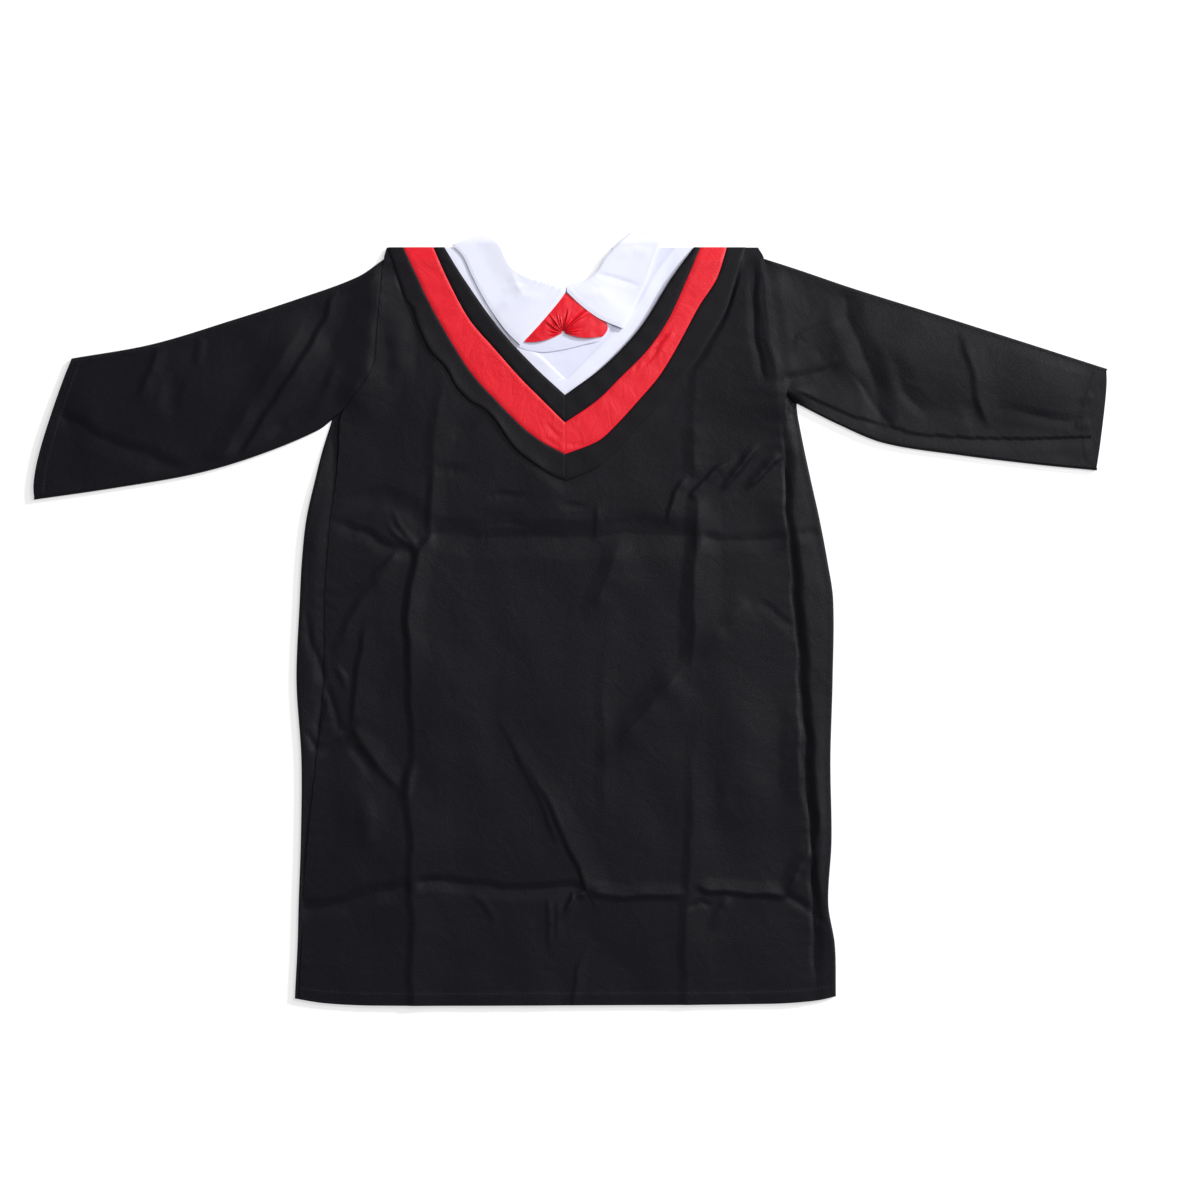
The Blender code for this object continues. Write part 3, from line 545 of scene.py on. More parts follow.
def fabric(name, colour, shade, roughness, thread, weave, crumple, specular, sheen=0.0, grain=0.5):
    """Cloth: crossed threads by the piece's own map, uneven yarn and dye, fine crumpling."""
    material, surface = plain_material(name, roughness, specular)
    nodes, links = material.node_tree.nodes, material.node_tree.links
    surface.inputs["Sheen Weight"].default_value = sheen
    surface.inputs["Sheen Roughness"].default_value = 0.45
    cloth_map = nodes.new("ShaderNodeUVMap")
    cloth_map.uv_map = "Cloth"

    def noise(scale, detail, rough, distortion):
        made = add_node(nodes, "ShaderNodeTexNoise", Scale=scale, Detail=detail, Roughness=rough,
                        Distortion=distortion)
        links.new(cloth_map.outputs["UV"], made.inputs["Vector"])
        return made.outputs["Fac"]

    def maths(operation, first, second):
        made = nodes.new("ShaderNodeMath")
        made.operation = operation
        for socket, value in zip(made.inputs, (first, second)):
            if isinstance(value, float):
                socket.default_value = value
            else:
                links.new(value, socket)
        return made.outputs["Value"]

    def bump(height, strength, distance, under=None):
        made = add_node(nodes, "ShaderNodeBump", Strength=strength, Distance=distance * MM)
        links.new(height, made.inputs["Height"])
        if under:
            links.new(under, made.inputs["Normal"])
        return made.outputs["Normal"]

    waves = []
    for direction in ("X", "Y"):
        wave = add_node(nodes, "ShaderNodeTexWave", Scale=WAVE_UNIT / (thread * MM), Distortion=0.4)
        wave.bands_direction = direction
        links.new(cloth_map.outputs["UV"], wave.inputs["Vector"])
        waves.append(wave.outputs["Fac"])
    threads = bump(maths("MULTIPLY", *waves), weave, distance=0.1)
    yarn = noise(scale=620, detail=3, rough=0.7, distortion=0.0)
    slubs = bump(yarn, grain, distance=0.35, under=threads)
    crumpling = noise(scale=42, detail=5, rough=0.62, distortion=0.7)
    links.new(bump(crumpling, crumple, distance=1.2, under=slubs), surface.inputs["Normal"])
    patches = noise(scale=16, detail=6, rough=0.7, distortion=0.0)
    dye = maths("ADD", maths("MULTIPLY", patches, 0.5), maths("MULTIPLY", yarn, 0.5))
    two_shades(surface, dye, shade, colour)
    return material


black_cloth = fabric("black polyester", colour=(0.0052, 0.0052, 0.0088), shade=(0.0013, 0.0013, 0.0028),
                     roughness=0.5, thread=0.45, weave=0.35, crumple=0.5, specular=0.17)

Half = namedtuple("Half", "inward fold edge armpit drop")
HALVES = {
    "right": Half(1, right_fold, right_edge, RIGHT_ARMPIT_Y, RIGHT_WRAP_DROP),
    "left": Half(-1, left_fold, left_edge, LEFT_ARMPIT_Y, LEFT_WRAP_DROP),
}


def wrap_place(side):
    """One side of the back: 0 at the seam, 1 at the bend, 2 under it, 3 on the centre."""
    inward, fold, edge, armpit, drop = HALVES[side]

    def place(a, y):
        a = a if side == "right" else 3 - a
        to_centre = np.clip(3 - a, 0, 1)
        lower = drop * ease(y, armpit - DROP_REACH, armpit) * np.clip(a, 0, 1) * to_centre
        tucked = ease(y, armpit - TUCK_REACH, armpit) * np.clip(a * 3, 0, 1) * to_centre
        bend_x = fold(y - lower) + inward * (ROLL + CLOTH / 2)
        seam_x = edge(y) + inward * SEAM_LAP
        x = mix(seam_x, bend_x, np.clip(a, 0, 1))
        turn = math.pi * np.clip(a - 1, 0, 1)
        x = np.where(a > 1, bend_x - inward * ROLL * np.sin(turn), x)
        from_fold, from_seam = abs(x - fold(y)), abs(x - seam_x)
        top = FRONT_Z + cloth_height(x, y - lower) * ease(from_fold, EVEN_AT_FOLD, 12)
        fine = seam_pucker(from_seam, y) + turned_edge(y - HEM_Y, HEM_DEPTH)
        top += seam_dip(from_seam) + fine * ease(from_fold, EVEN_AT_FOLD, 8)
        sunk = ARMPIT_SINK * ease(y, armpit - SINK_START, armpit - SINK_END)
        bend_z = BACK_Z + (FRONT_Z - sunk - BACK_Z) * (1 + np.cos(turn)) / 2
        z = np.where(a > 1, bend_z, np.maximum(top - sunk, LOWEST_WRAP_Z))
        x = np.where(a > 2, mix(bend_x, CENTRE_X, np.clip(a - 2, 0, 1)), x)
        z = np.where(a > 2, BACK_Z, z)
        along = x + inward * 8 * np.clip(2 - a, 0, 2)
        return x, y - lower + ARMPIT_TUCK * tucked + hem_shift(x, y), z, along, y

    return place


def yoke_place(side):
    """The same side above its armpit, flat, cut low behind the neck."""
    inward, fold, edge, armpit, drop = HALVES[side]

    def place(a, y):
        a = a if side == "right" else 1 - a
        bend_x = fold(armpit - drop) + inward * (ROLL + CLOTH / 2)
        x = mix(mix(bend_x, edge(y), ease(y, armpit, armpit + 7)), CENTRE_X, a)
        up = np.clip((y - NECK_START_Y) / (SHOULDER_Y - NECK_START_Y), 0, 1)
        y = y - drop * (1 - ease(y, armpit, armpit + 16)) * (1 - a)
        y = np.where(up > 0, mix(NECK_START_Y, back_neck(x), up), y)
        return x, y, np.full(np.shape(x), BACK_Z), x, y

    return place


body_along = spread((HEM_Y, STEP_ROWS[0], 4), (*STEP_ROWS, 2), (STEP_ROWS[1], RIGHT_ARMPIT_Y, 192),
                    (RIGHT_ARMPIT_Y, LEFT_ARMPIT_Y, 8))
yoke_along = spread((RIGHT_ARMPIT_Y, LEFT_ARMPIT_Y, 8), (LEFT_ARMPIT_Y, SHOULDER_Y, 30))
wrap_across = spread((0, 1, 13), (1, 2, 8), (2, 3, 12))
yoke_across = spread((0, 1, 12))
back_panel = dress("back_panel", [
    (wrap_across, body_along[body_along <= RIGHT_ARMPIT_Y], wrap_place("right")),
    (3 - wrap_across[::-1], body_along, wrap_place("left")),
    (yoke_across, yoke_along, yoke_place("right")),
    (yoke_across, yoke_along[yoke_along >= LEFT_ARMPIT_Y], yoke_place("left")),
], CLOTH, black_cloth)

# Front panel: one piece of the same black polyester, cut with a V notch that the bands cover.
# It lies on the back and is turned down to it at the shoulders. Its hem is folded twice.
NOTCH_Y = 200.0
NOTCH_LAP = 5
SHOULDER_TURN = 12.0
SHOULDER_Z = 2.1
OPENING = [
    Line(205, -5, -5), Line(232, -34, 31), Line(267, -66, 64),
    Line(312, -98, 92.5), Line(341, -116, 113.5), Line(350, -121, 119),
]
PRESS_LINE = {
    "right": smooth([(-353, -144), (-246, -145), (-160, -148), (-100, -144), (-20, -148),
                     (28, -147), (58, -141), (77, -128), (140, -128), (205, -134), (341, -146)]),
    "left": smooth([(-353, 106), (-258, 106), (-238, 110), (-145, 112), (-20, 112), (78, 116),
                    (112, 118), (140, 113), (205, 124), (341, 146)]),
}


def shoulder_turn(y):
    return np.clip((y - SHOULDER_Y + SHOULDER_TURN) / SHOULDER_TURN, 0, 1)


def front_place(side):
    """Half of the front: 0 at the seam, 1 on the press crease, 2 on the centre or the notch."""
    inward, edge, press_line = HALVES[side].inward, HALVES[side].edge, PRESS_LINE[side]
    notch = smooth_side(OPENING, side)

    def place(a, y):
        a = a if side == "right" else 2 - a
        inner = np.where(y > NOTCH_Y, notch(y + NOTCH_LAP), CENTRE_X)
        seam_x = edge(y) - inward * SEAM_LAP
        x = np.where(a <= 1, mix(seam_x, press_line(y), a), mix(press_line(y), inner, a - 1))
        z = mix(FRONT_Z, SHOULDER_Z, shoulder_turn(y)) + cloth_height(x, y)
        z += seam_pucker(abs(x - seam_x), y) + turned_edge(y - HEM_Y, HEM_DEPTH)
        return x, y + hem_shift(x, y), z + CLOTH / 2, x, y

    return place


front_across = spread((0, 1, 60), (1, 2, 82))
front_along = spread((HEM_Y, STEP_ROWS[0], 5), (*STEP_ROWS, 2), (STEP_ROWS[1], -268, 26),
                     (-268, -232, 24), (-232, 64, 114), (64, 172, 70), (172, 329, 70),
                     (329, SHOULDER_Y, 7))
front_panel = dress("front_panel", [
    (front_across, front_along, front_place("right")),
    (2 - front_across[::-1], front_along, front_place("left")),
], CLOTH, black_cloth,
   rim_only=True)

# Hem stitches: one row of black thread through the fold of the hem, all round the front and
# the wraps. Each stitch is a small bead of thread pulled into the cloth.
HEM_STITCHES_AT = 11.2
STITCH_PITCH = 3.2
STITCH_LENGTH = 2.3
STITCH_WIDTH = 0.42
THREAD_SINK = 0.05


def sew(name, runs, thread):
    """Rows of stitches along runs of x, y and z in mm on the top of the cloth."""
    bm = bmesh.new()
    shape = Matrix.Diagonal((STITCH_LENGTH / 2 * MM, STITCH_WIDTH / 2 * MM, STITCH_WIDTH / 2 * MM, 1))
    for run in runs:
        run = np.stack(run, 1)
        gone = np.concatenate(([0], np.cumsum(np.linalg.norm(np.diff(run, axis=0), axis=1))))
        for k in range(int(gone[-1] / STITCH_PITCH)):
            ends = [(k + 0.5) * STITCH_PITCH + way * STITCH_LENGTH / 2 for way in (-1, 1)]
            low, high = (Vector([np.interp(end, gone, run[:, i]) for i in range(3)]) for end in ends)
            turn = (high - low).to_track_quat("X", "Z").to_matrix().to_4x4()
            place = Matrix.Translation((low + high) / 2 * MM - Vector((0, 0, THREAD_SINK * MM)))
            bmesh.ops.create_icosphere(bm, subdivisions=1, radius=1, matrix=place @ turn @ shape)
    row = add_mesh(name, bm)
    row.data.shade_smooth()
    row.data.materials.append(thread)
    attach(row, "root")


def on_top(place, across, along, wall):
    """A run for stitches over a cloth whose middle is given by place."""
    x, y, z = place(across, along)[:3]
    return x, y, z + wall / 2


def thread_colour(name, colour):
    material, surface = plain_material(name, roughness=0.6, specular=0.3)
    nodes, links = material.node_tree.nodes, material.node_tree.links
    place = nodes.new("ShaderNodeTexCoord")
    twist = add_node(nodes, "ShaderNodeTexNoise", Scale=900)
    links.new(place.outputs["Object"], twist.inputs["Vector"])
    dark, light = ([share * part for part in colour] for share in (0.7, 1.2))
    two_shades(surface, twist.outputs["Fac"], dark, light)
    return material


black_thread = thread_colour("black thread", (0.016, 0.016, 0.021))
hem_y = HEM_Y + HEM_STITCHES_AT
hem_run = np.linspace(right_fold(hem_y) + 5, left_fold(hem_y) - 5, 600)
hem_rise = FRONT_Z + cloth_height(hem_run, hem_y + 0 * hem_run) + CLOTH / 2
seam_near = np.minimum(abs(hem_run - right_edge(hem_y)), abs(hem_run - left_edge(hem_y)))
on_wrap = (hem_run < right_edge(hem_y)) | (hem_run > left_edge(hem_y))
hem_rise = hem_rise + np.where(on_wrap, seam_dip(seam_near), 0)
sew("hem_stitches", [(hem_run, hem_y + hem_shift(hem_run, hem_y), hem_rise)], black_thread)

# Sleeves: each one piece of black polyester sewn into a tube along the underarm, laid flat.
# The underarm seam of the left one has turned on to the front. The cuffs are hemmed.
SLEEVE_LENGTH = 300
RECESS_LENGTH = 290
CAP_TOP_Y = 331
CUFF_DEPTH = 9.0
CUFF_STITCHES_AT = 9.4
BEND_Z = (FRONT_Z + BACK_Z) / 2
Outline = namedtuple("Outline", "armpit lower upper cuff recess seam")
RIGHT_SLEEVE = Outline(
    armpit=(-217.4, 187),
    lower=[(-234, 173), (-289, 149.5), (-344.5, 133), (-418, 120), (-492.5, 109)],
    upper=[(-196, 314), (-250, 294), (-310, 274.5), (-385, 252), (-458, 239)],
    cuff=[(-492.5, 109), (-493.3, 123), (-489.5, 146), (-478.5, 183), (-465, 222), (-458, 239)],
    recess=0,
    seam=None,
)
LEFT_SLEEVE = Outline(
    armpit=(207.6, 199.2),
    lower=[(248, 178), (289, 161), (358, 150), (432, 141), (483.5, 136)],
    upper=[(211, 320), (258, 304), (330, 281.5), (413.5, 255), (492.8, 229.5)],
    cuff=[(483.5, 136), (487, 159), (491.5, 196), (493.2, 217), (492.8, 229.5)],
    recess=11,
    seam=[(203, 212), (231, 199), (259, 186), (285, 178), (320, 169), (367, 166), (414, 165),
          (484, 167)],
)


def path(points):
    """Function of 0 to 1 along a smooth curve through points, by length."""
    points = np.array(points, float)
    gone = np.concatenate(([0], np.cumsum(np.hypot(*(points[1:] - points[:-1]).T))))
    along_x, along_y = (smooth(list(zip(gone / gone[-1], part))) for part in points.T)
    return lambda s: np.stack((along_x(s), along_y(s)))


def sleeve_places(outline, half):
    armpit_y = outline.armpit[1]
    knots = np.linspace(armpit_y + 7, CAP_TOP_Y, 14)
    along = smooth([outline.armpit[::-1]] + [(y, half.edge(y) + half.inward * SEAM_LAP) for y in knots])

    def cap(t):
        y = mix(armpit_y, CAP_TOP_Y, t)
        return np.stack((along(y), y))

    lower = path([cap(0)] + outline.lower)
    upper = path([cap(1)] + outline.upper)
    cuff = path(outline.cuff)

    def inside(s, t):
        point = mix(lower(s), upper(s), t)
        point = point + (cap(t) - mix(cap(0)[:, None], cap(1)[:, None], t)) * (1 - s) ** 5
        return point + (cuff(t) - mix(cuff(0)[:, None], cuff(1)[:, None], t)) * s ** 5

    def place(a, s):
        """Round the tube: 0 to 1 over the top, to 2 round the fold, to 3 under, to 4 back."""
        width = np.hypot(*(upper(s) - lower(s)))
        side = (upper(s) - lower(s)) / width
        inset = (ROLL + CLOTH / 2) / width

        def bend(t, first_a, way):
            turn = math.pi * np.clip(a - first_a, 0, 1)
            return (*(inside(s, t) + way * side * ROLL * np.sin(turn)),
                    BEND_Z + way * (FRONT_Z - BEND_Z) * np.cos(turn))

        top_t = mix(inset, 1 - inset, np.clip(a, 0, 1))
        s_top = s - outline.recess / RECESS_LENGTH * ease(s, 0.7, 1) * np.sin(math.pi * top_t)
        x, y = inside(s_top, top_t)
        rim = np.minimum(top_t, 1 - top_t) * width
        z = FRONT_Z + cloth_height(x, y) * ease(rim, EVEN_AT_FOLD, 14)
        z += turned_edge((1 - s) * SLEEVE_LENGTH, CUFF_DEPTH) * ease(rim, EVEN_AT_FOLD, 8)
        z += seam_dip(s_top * SLEEVE_LENGTH)
        if outline.seam:
            from_seam, above, _ = near_route(outline.seam, x, y)
            z += np.where(above < 0, 1.2 * seam_dip(from_seam), 0)
        x, y, z = np.where(a > 1, bend(1 - inset, 1, 1), (x, y, z))
        x, y = np.where(a > 2, inside(s, mix(1 - inset, inset, np.clip(a - 2, 0, 1))), (x, y))
        z = np.where(a > 2, BACK_Z, z)
        x, y, z = np.where(a > 3, bend(inset, 3, -1), (x, y, z))
        round_it = np.where(a < 1, top_t * width, np.where(a < 3, (a - 1) * 60, a * 2))
        return x, y, z, s * SLEEVE_LENGTH, round_it

    return place


tube_across = spread((0, 1, 68), (1, 2, 8), (2, 3, 24), (3, 4, 8))
tube_along = spread((0, 0.012, 2), (0.012, 0.965, 140), (0.965, 0.975, 3), (0.975, 1, 4))
for side, outline in (("right", RIGHT_SLEEVE), ("left", LEFT_SLEEVE)):
    sleeve_place = sleeve_places(outline, HALVES[side])
    dress(f"sleeve_{side}", [(tube_across, tube_along, sleeve_place)], CLOTH, black_cloth)
    cuff_s = np.full(200, 1 - CUFF_STITCHES_AT / SLEEVE_LENGTH)
    cuff_run = on_top(sleeve_place, np.linspace(0.02, 0.98, 200), cuff_s, CLOTH)
    sew(f"sleeve_{side}_cuff_stitches", [cuff_run], black_thread)

# V bands: on each side a black strip, a red satin strip and a black strip, sewn edge to edge
# and mitred on the centre line. The outer strip's loose edge stands off the front.
RED_INNER = [
    Line(180, -5, -5), Line(200, -25, 24), Line(221, -46, 45.5), Line(247, -69, 71),
    Line(275, -93, 90), Line(312, -113, 107), Line(341, -126, 119.5),
]
RED_OUTER = [
    Line(151, -5, -5), Line(163, -27, 25), Line(176, -44, 40), Line(200, -68, 62),
    Line(223, -89, 81.5), Line(250, -107, 98), Line(287, -128, 118),
    Line(312, -140, 134), Line(341, -153.5, 143.5),
]
LOOSE_EDGE = [
    (-5, 127.5), (-12.4, 129.8), (-35.4, 144), (-52, 158.7), (-68.5, 181.7), (-81.8, 194.5),
    (-91, 199.5), (-105.3, 214.8), (-115.5, 232.5), (-131, 250), (-140.5, 273), (-144.5, 285.5),
    (-151.8, 294), (-158, 311), (-163, 327), (-167, 341),
]
BAND_WALL = 0.9
BAND_TOP = 6.2
BAND_SHOULDER_TOP = 4.1
BAND_GAP = 0.04
BAND_LENGTH = 280
BAND_EDGE_DIP = 0.45
MITRE_DIP = 0.12
RED_STITCHES_AT = (0.11, 0.86)
Band = namedtuple("Band", "name outer inner material slot top puff lift flat area")
black_trim = fabric("black trim", colour=(0.0066, 0.0052, 0.0082), shade=(0.0024, 0.0018, 0.0034),
                    roughness=0.5, thread=0.5, weave=0.3, crumple=0.25, specular=0.15)
red_satin = fabric("red satin", colour=(0.92, 0.016, 0.036), shade=(0.54, 0.003, 0.009),
                   roughness=0.38, thread=0.4, weave=0.25, crumple=0.8, specular=0.3, grain=0.25)
red_thread = thread_colour("red thread", (0.28, 0.003, 0.008))
BANDS = [
    Band("band_outer", TRIM_OUTER, RED_OUTER, black_trim, "black_trim", -0.15, 0.15, 1.5,
         (0.020, 0.27), 0.0047),
    Band("band_red", RED_OUTER, RED_INNER, red_satin, "red_satin", 0.05, 0.22, 0,
         (0.029, 0.25), 0.0060),
    Band("band_inner", RED_INNER, OPENING, black_trim, "black_trim", 0.25, 0.25, 0,
         (0.025, 0.20), 0.0031),
]
RED_RUCKS = [
    Fold("first ruck", [(71, 240), (79, 251), (90, 263)], -1.1, 2.4, 3),
    Fold("second ruck", [(64, 231), (73, 238), (84, 252)], -1.0, 2.2, 3),
    Fold("third ruck", [(57, 225), (64, 236)], -0.8, 2.2, 3, 0.4, 0.4),
    Fold("puff beside the rucks", [(78, 240), (90, 256), (98, 268)], 0.8, 4, 4, 0.4, 0.4, "soft"),
    Fold("ruck at the tip", [(-24, 181), (-14, 170), (-7, 166)], -0.5, 3, 4),
    Fold("ruck beside the tip", [(-4, 160), (3, 159), (14, 162)], -0.7, 2.4, 3),
    Fold("ruck under the tip", [(-26, 167), (-16, 161), (-8, 156)], -0.6, 2.4, 3),
    Fold("slant at the tip", [(3, 178), (12, 183), (22, 190)], -0.4, 3, 4),
]


def band_line(table, side):
    return path([(getattr(row, side), row.y) for row in table if row.y <= SHOULDER_Y])


def band_place(band, side):
    outer, inner = band_line(band.outer, side), band_line(band.inner, side)
    if band.lift and side == "right":
        outer = path(LOOSE_EDGE)
    outward = -HALVES[side].inward
    loose = 1.0 if side == "right" else 0.3

    def place(a, t):
        across = a if side == "right" else 1 - a
        width = np.hypot(*(inner(t) - outer(t)))
        trimmed = mix(BAND_GAP / width, 1 - BAND_GAP / width, across)
        x, y = mix(outer(t), inner(t), trimmed)
        x = np.where((x - CENTRE_X) * outward < BAND_GAP, CENTRE_X + outward * BAND_GAP, x)
        if band.lift:
            x += outward * 0.5 * np.sin(t * 34 + np.sin(t * 11)) * (1 - across) ** 3
        z = mix(BAND_TOP, BAND_SHOULDER_TOP, shoulder_turn(y)) - BAND_WALL / 2 + band.top
        edge_away = np.minimum(across, 1 - across) * width
        z += band.puff * ease(edge_away, 0, 4) - BAND_EDGE_DIP * (1 - ease(edge_away, 0, 1.3))
        z -= MITRE_DIP * (1 - ease(abs(x - CENTRE_X), 0, 1.5))
        rise = (1 - across) ** 2.2 * ease(t, 0.02, 0.15) * (1 - ease(t, 0.6, 0.92))
        z += band.lift * loose * rise * (1 + 0.35 * np.sin(t * 21) * np.sin(t * 9 + 1))
        z += 0.10 * np.sin(t * 60 + 3 * across) * ease(edge_away, 0, 3) * (1 - shoulder_turn(y))
        if band.slot == "red_satin":
            z += sum(fold_shape(ruck, x, y) for ruck in RED_RUCKS)
        return x, y, z, across * width, t * BAND_LENGTH

    return place


band_across = spread((0, 0.08, 2), (0.08, 0.92, 14), (0.92, 1, 2))
band_along = spread((0, 1, 190))
for side in HALVES:
    for band in BANDS:
        dress(f"{band.name}_{side}", [(band_across, band_along, band_place(band, side))], BAND_WALL,
              band.material)
    red_place = band_place(BANDS[1], side)
    red_runs = []
    for across in RED_STITCHES_AT:
        red_a = np.full(400, across if side == "right" else 1 - across)
        red_runs.append(on_top(red_place, red_a, np.linspace(0.03, 0.99, 400), BAND_WALL))
    sew(f"band_red_{side}_stitches", red_runs, red_thread)

# Shirt front: a white poplin inset sewn in behind the V, with a doubled border along the V
# and two faint pressed lines. It lies on the back panel. Its middle has a darker copy of the
# poplin, painted shade, and its border a lighter copy, painted light as well as the whiter
# look of the doubled cloth.
SHIRT_WALL = 0.8
SHIRT_TOP = 2.6
SHIRT_LAP = 9
NECKLINE = [
    Line(306, -5, -5), Line(310, -20, 11), Line(316, -41, 20), Line(322.5, -53, 26),
    Line(335, -61, 34.5), Line(341, -64.5, 38.5),
]
BORDER_INNER = [
    Line(219.5, -4.5, -4.5), Line(232, -17.5, 9), Line(247, -34, 24), Line(267, -51, 44),
    Line(290, -67, 63), Line(316, -84, 77), Line(341, -100, 96),
]
BORDER_STEP = 0.4
POPLIN = dict(roughness=0.8, thread=0.35, weave=0.2, specular=0.2, sheen=0.1, grain=0.15)
# The two poplins differ only in colour. The darker one is painted shade, for cloth lying low in the V
# and under the bow and the leaves. The lighter one is painted light, for the leaves and the border; on
# the border it also stands for the whiter doubled cloth.
poplin_painted_shade = fabric("white poplin", colour=(0.75, 0.765, 0.915), shade=(0.68, 0.695, 0.865),
                      crumple=0.2, **POPLIN)
poplin_painted_light = fabric("white poplin, doubled", colour=(0.81, 0.825, 0.945), shade=(0.75, 0.765, 0.91),
                      crumple=0.15, **POPLIN)
SHIRT_CREASES = [
    Fold("pressed line", [(-60, 262), (-30, 240), (-8, 222)], 0.5, 5, 7),
    Fold("pressed line, left", [(-2, 224), (26, 243), (54, 270)], 0.4, 5, 7),
    Fold("slant across the front", [(14, 236), (34, 252), (60, 262)], 0.5, 7, 8, 0.3, 0.3, "soft"),
    Fold("below the stand", [(-40, 243), (-16, 237), (8, 239)], 0.4, 5, 6, 0.3, 0.3, "soft"),
    Fold("rise at the right", [(-64, 268), (-78, 290), (-96, 322)], 0.4, 4, 5, 0.3, 0.3, "soft"),
    Fold("dip beside the left leaf", [(72, 285), (88, 318), (98, 340)], -0.7, 8, 7, 0.3, 0.3, "soft"),
]


def shirt_place(side):
    outer, border, neck = (smooth_side(rows, side) for rows in (OPENING, BORDER_INNER, NECKLINE))

    def place(a, y):
        """0 at the V, 1 where the doubled border ends, 2 on the centre or the neck."""
        a = a if side == "right" else 2 - a
        from_x = outer(y + SHIRT_LAP * (1 - ease(y, 290, 325)))
        to_x = np.where(y > NECKLINE[0].y, neck(y), CENTRE_X)
        across = np.minimum(abs(border(y) - from_x), abs(to_x - from_x))
        border_x = from_x + np.sign(CENTRE_X - from_x + 0.001) * across
        border_x = np.where(y < BORDER_INNER[0].y, mix(from_x, to_x, 0.5), border_x)
        x = np.where(a <= 1, mix(from_x, border_x, a), mix(border_x, to_x, a - 1))
        z = SHIRT_TOP - SHIRT_WALL / 2 + 0.25 * restless(x * 2, y * 2)
        z = z + sum(fold_shape(crease, x, y) for crease in SHIRT_CREASES) * 0.6
        return x, y, z - BORDER_STEP * ease(a, 0.97, 1.06) * ease(y, 219, 224), x, y

    return place


shirt_across = spread((0, 0.97, 10), (0.97, 1.06, 2), (1.06, 2, 26))
shirt_along = spread((198, SHOULDER_Y, 64))
shirt_front = dress("shirt_front", [
    (shirt_across, shirt_along, shirt_place("right")),
    (2 - shirt_across[::-1], shirt_along, shirt_place("left")),
], SHIRT_WALL, poplin_painted_shade)
# The border takes the lighter poplin, which is painted light as well as the doubled cloth. The middle
# keeps the darker one, which is painted shade.
shirt_front.data.materials.append(poplin_painted_light)
border_right, border_left = smooth_side(BORDER_INNER, "right"), smooth_side(BORDER_INNER, "left")
for polygon in shirt_front.data.polygons:
    x, y = polygon.center.x / MM, polygon.center.y / MM
    border_x = (border_right if x < CENTRE_X else border_left)(y)
    inside = y > BORDER_INNER[0].y and abs(x - CENTRE_X) < abs(border_x - CENTRE_X)
    polygon.material_index = 0 if inside else 1

# Collar stand: a curved white band of two layers of poplin, sewn to the top of the shirt front.
# The leaves are folded down from it, and its lower edge shows below the bow.
STAND_WALL = 1.0
STAND_Z = 3.3
STAND_DIP = 0.25
STAND_LOWER = [(-58, 261), (-48, 250), (-28, 245), (-8, 247), (13, 252), (29, 257), (42, 276)]
STAND_UPPER = [(-62, 274), (-50, 286), (-28, 292), (-5, 293), (16, 292), (32, 288), (46, 282)]


def patch(low, high, start, end):
    """Point inside four edges, given as points: low and high run with s, start and end with t."""
    low, high, start, end = path(low), path(high), path(start), path(end)

    def inside(s, t):
        ruled = mix(low(s), high(s), t) + mix(start(t), end(t), s)
        corners = [edge(np.full(np.shape(s), k)) for edge in (start, end) for k in (0.0, 1.0)]
        return ruled - mix(mix(corners[0], corners[1], t), mix(corners[2], corners[3], t), s)

    return inside


stand_inside = patch(STAND_LOWER, STAND_UPPER, [STAND_LOWER[0], STAND_UPPER[0]],
                     [STAND_LOWER[-1], STAND_UPPER[-1]])


def stand_place(s, t):
    x, y = stand_inside(s, t)
    z = STAND_Z - STAND_DIP * (2 - ease(t, 0, 0.5) - ease(t, 0, 0.08)) + 0.1 * np.sin(s * 19) * t
    return x, y, z, x, y


stand_grid = (spread((0, 1, 70)), spread((0, 1, 20)), stand_place)
# The stand takes the darker poplin: painted shade under the bow and the leaves.
collar_stand = dress("collar_stand", [stand_grid], STAND_WALL, poplin_painted_shade)

# Bow: one piece of red satin gathered by hand at one point, so that it opens like a fan of
# fourteen pleats above the collar stand. Its upper edge is tucked under the collar leaves.
SATIN_WALL = 0.6
BOW_Z = 4.2
BOW_RISE = 1.5
PLEAT_RISE = 1.6
BOW_SAG = 3.0
GATHER_DIP = 0.7
GATHER = (-7.0, 262.5)
FAN = [(-5, 37), (4, 41), (14, 41), (24, 39.5), (45, 36), (70, 36), (90, 36.5), (120, 32), (150, 30),
       (178, 33), (194, 36)]
Pleat = namedtuple("Pleat", "angle height width reach sway")
PLEATS = [
    Pleat(8, 0.7, 3.2, 0.45, 6), Pleat(21, 1.2, 2.4, 0.5, -5), Pleat(33, 1.4, 2.2, 0.62, 6),
    Pleat(46, 1.9, 2.4, 0.98, -7), Pleat(58, 1.2, 2.0, 0.45, 4), Pleat(70, 1.2, 2.2, 0.66, 9),
    Pleat(84, 0.7, 2.0, 0.4, -5), Pleat(97, 0.9, 2.2, 0.5, 5), Pleat(110, 0.7, 2.0, 0.62, -6),
    Pleat(122, 1.1, 2.2, 0.7, 6), Pleat(135, 0.8, 2.0, 0.5, 5), Pleat(148, 1.0, 2.4, 0.72, -5),
    Pleat(162, 0.7, 2.4, 0.5, -4), Pleat(176, 0.5, 3.0, 0.45, 4),
]
fan_reach = smooth(FAN)


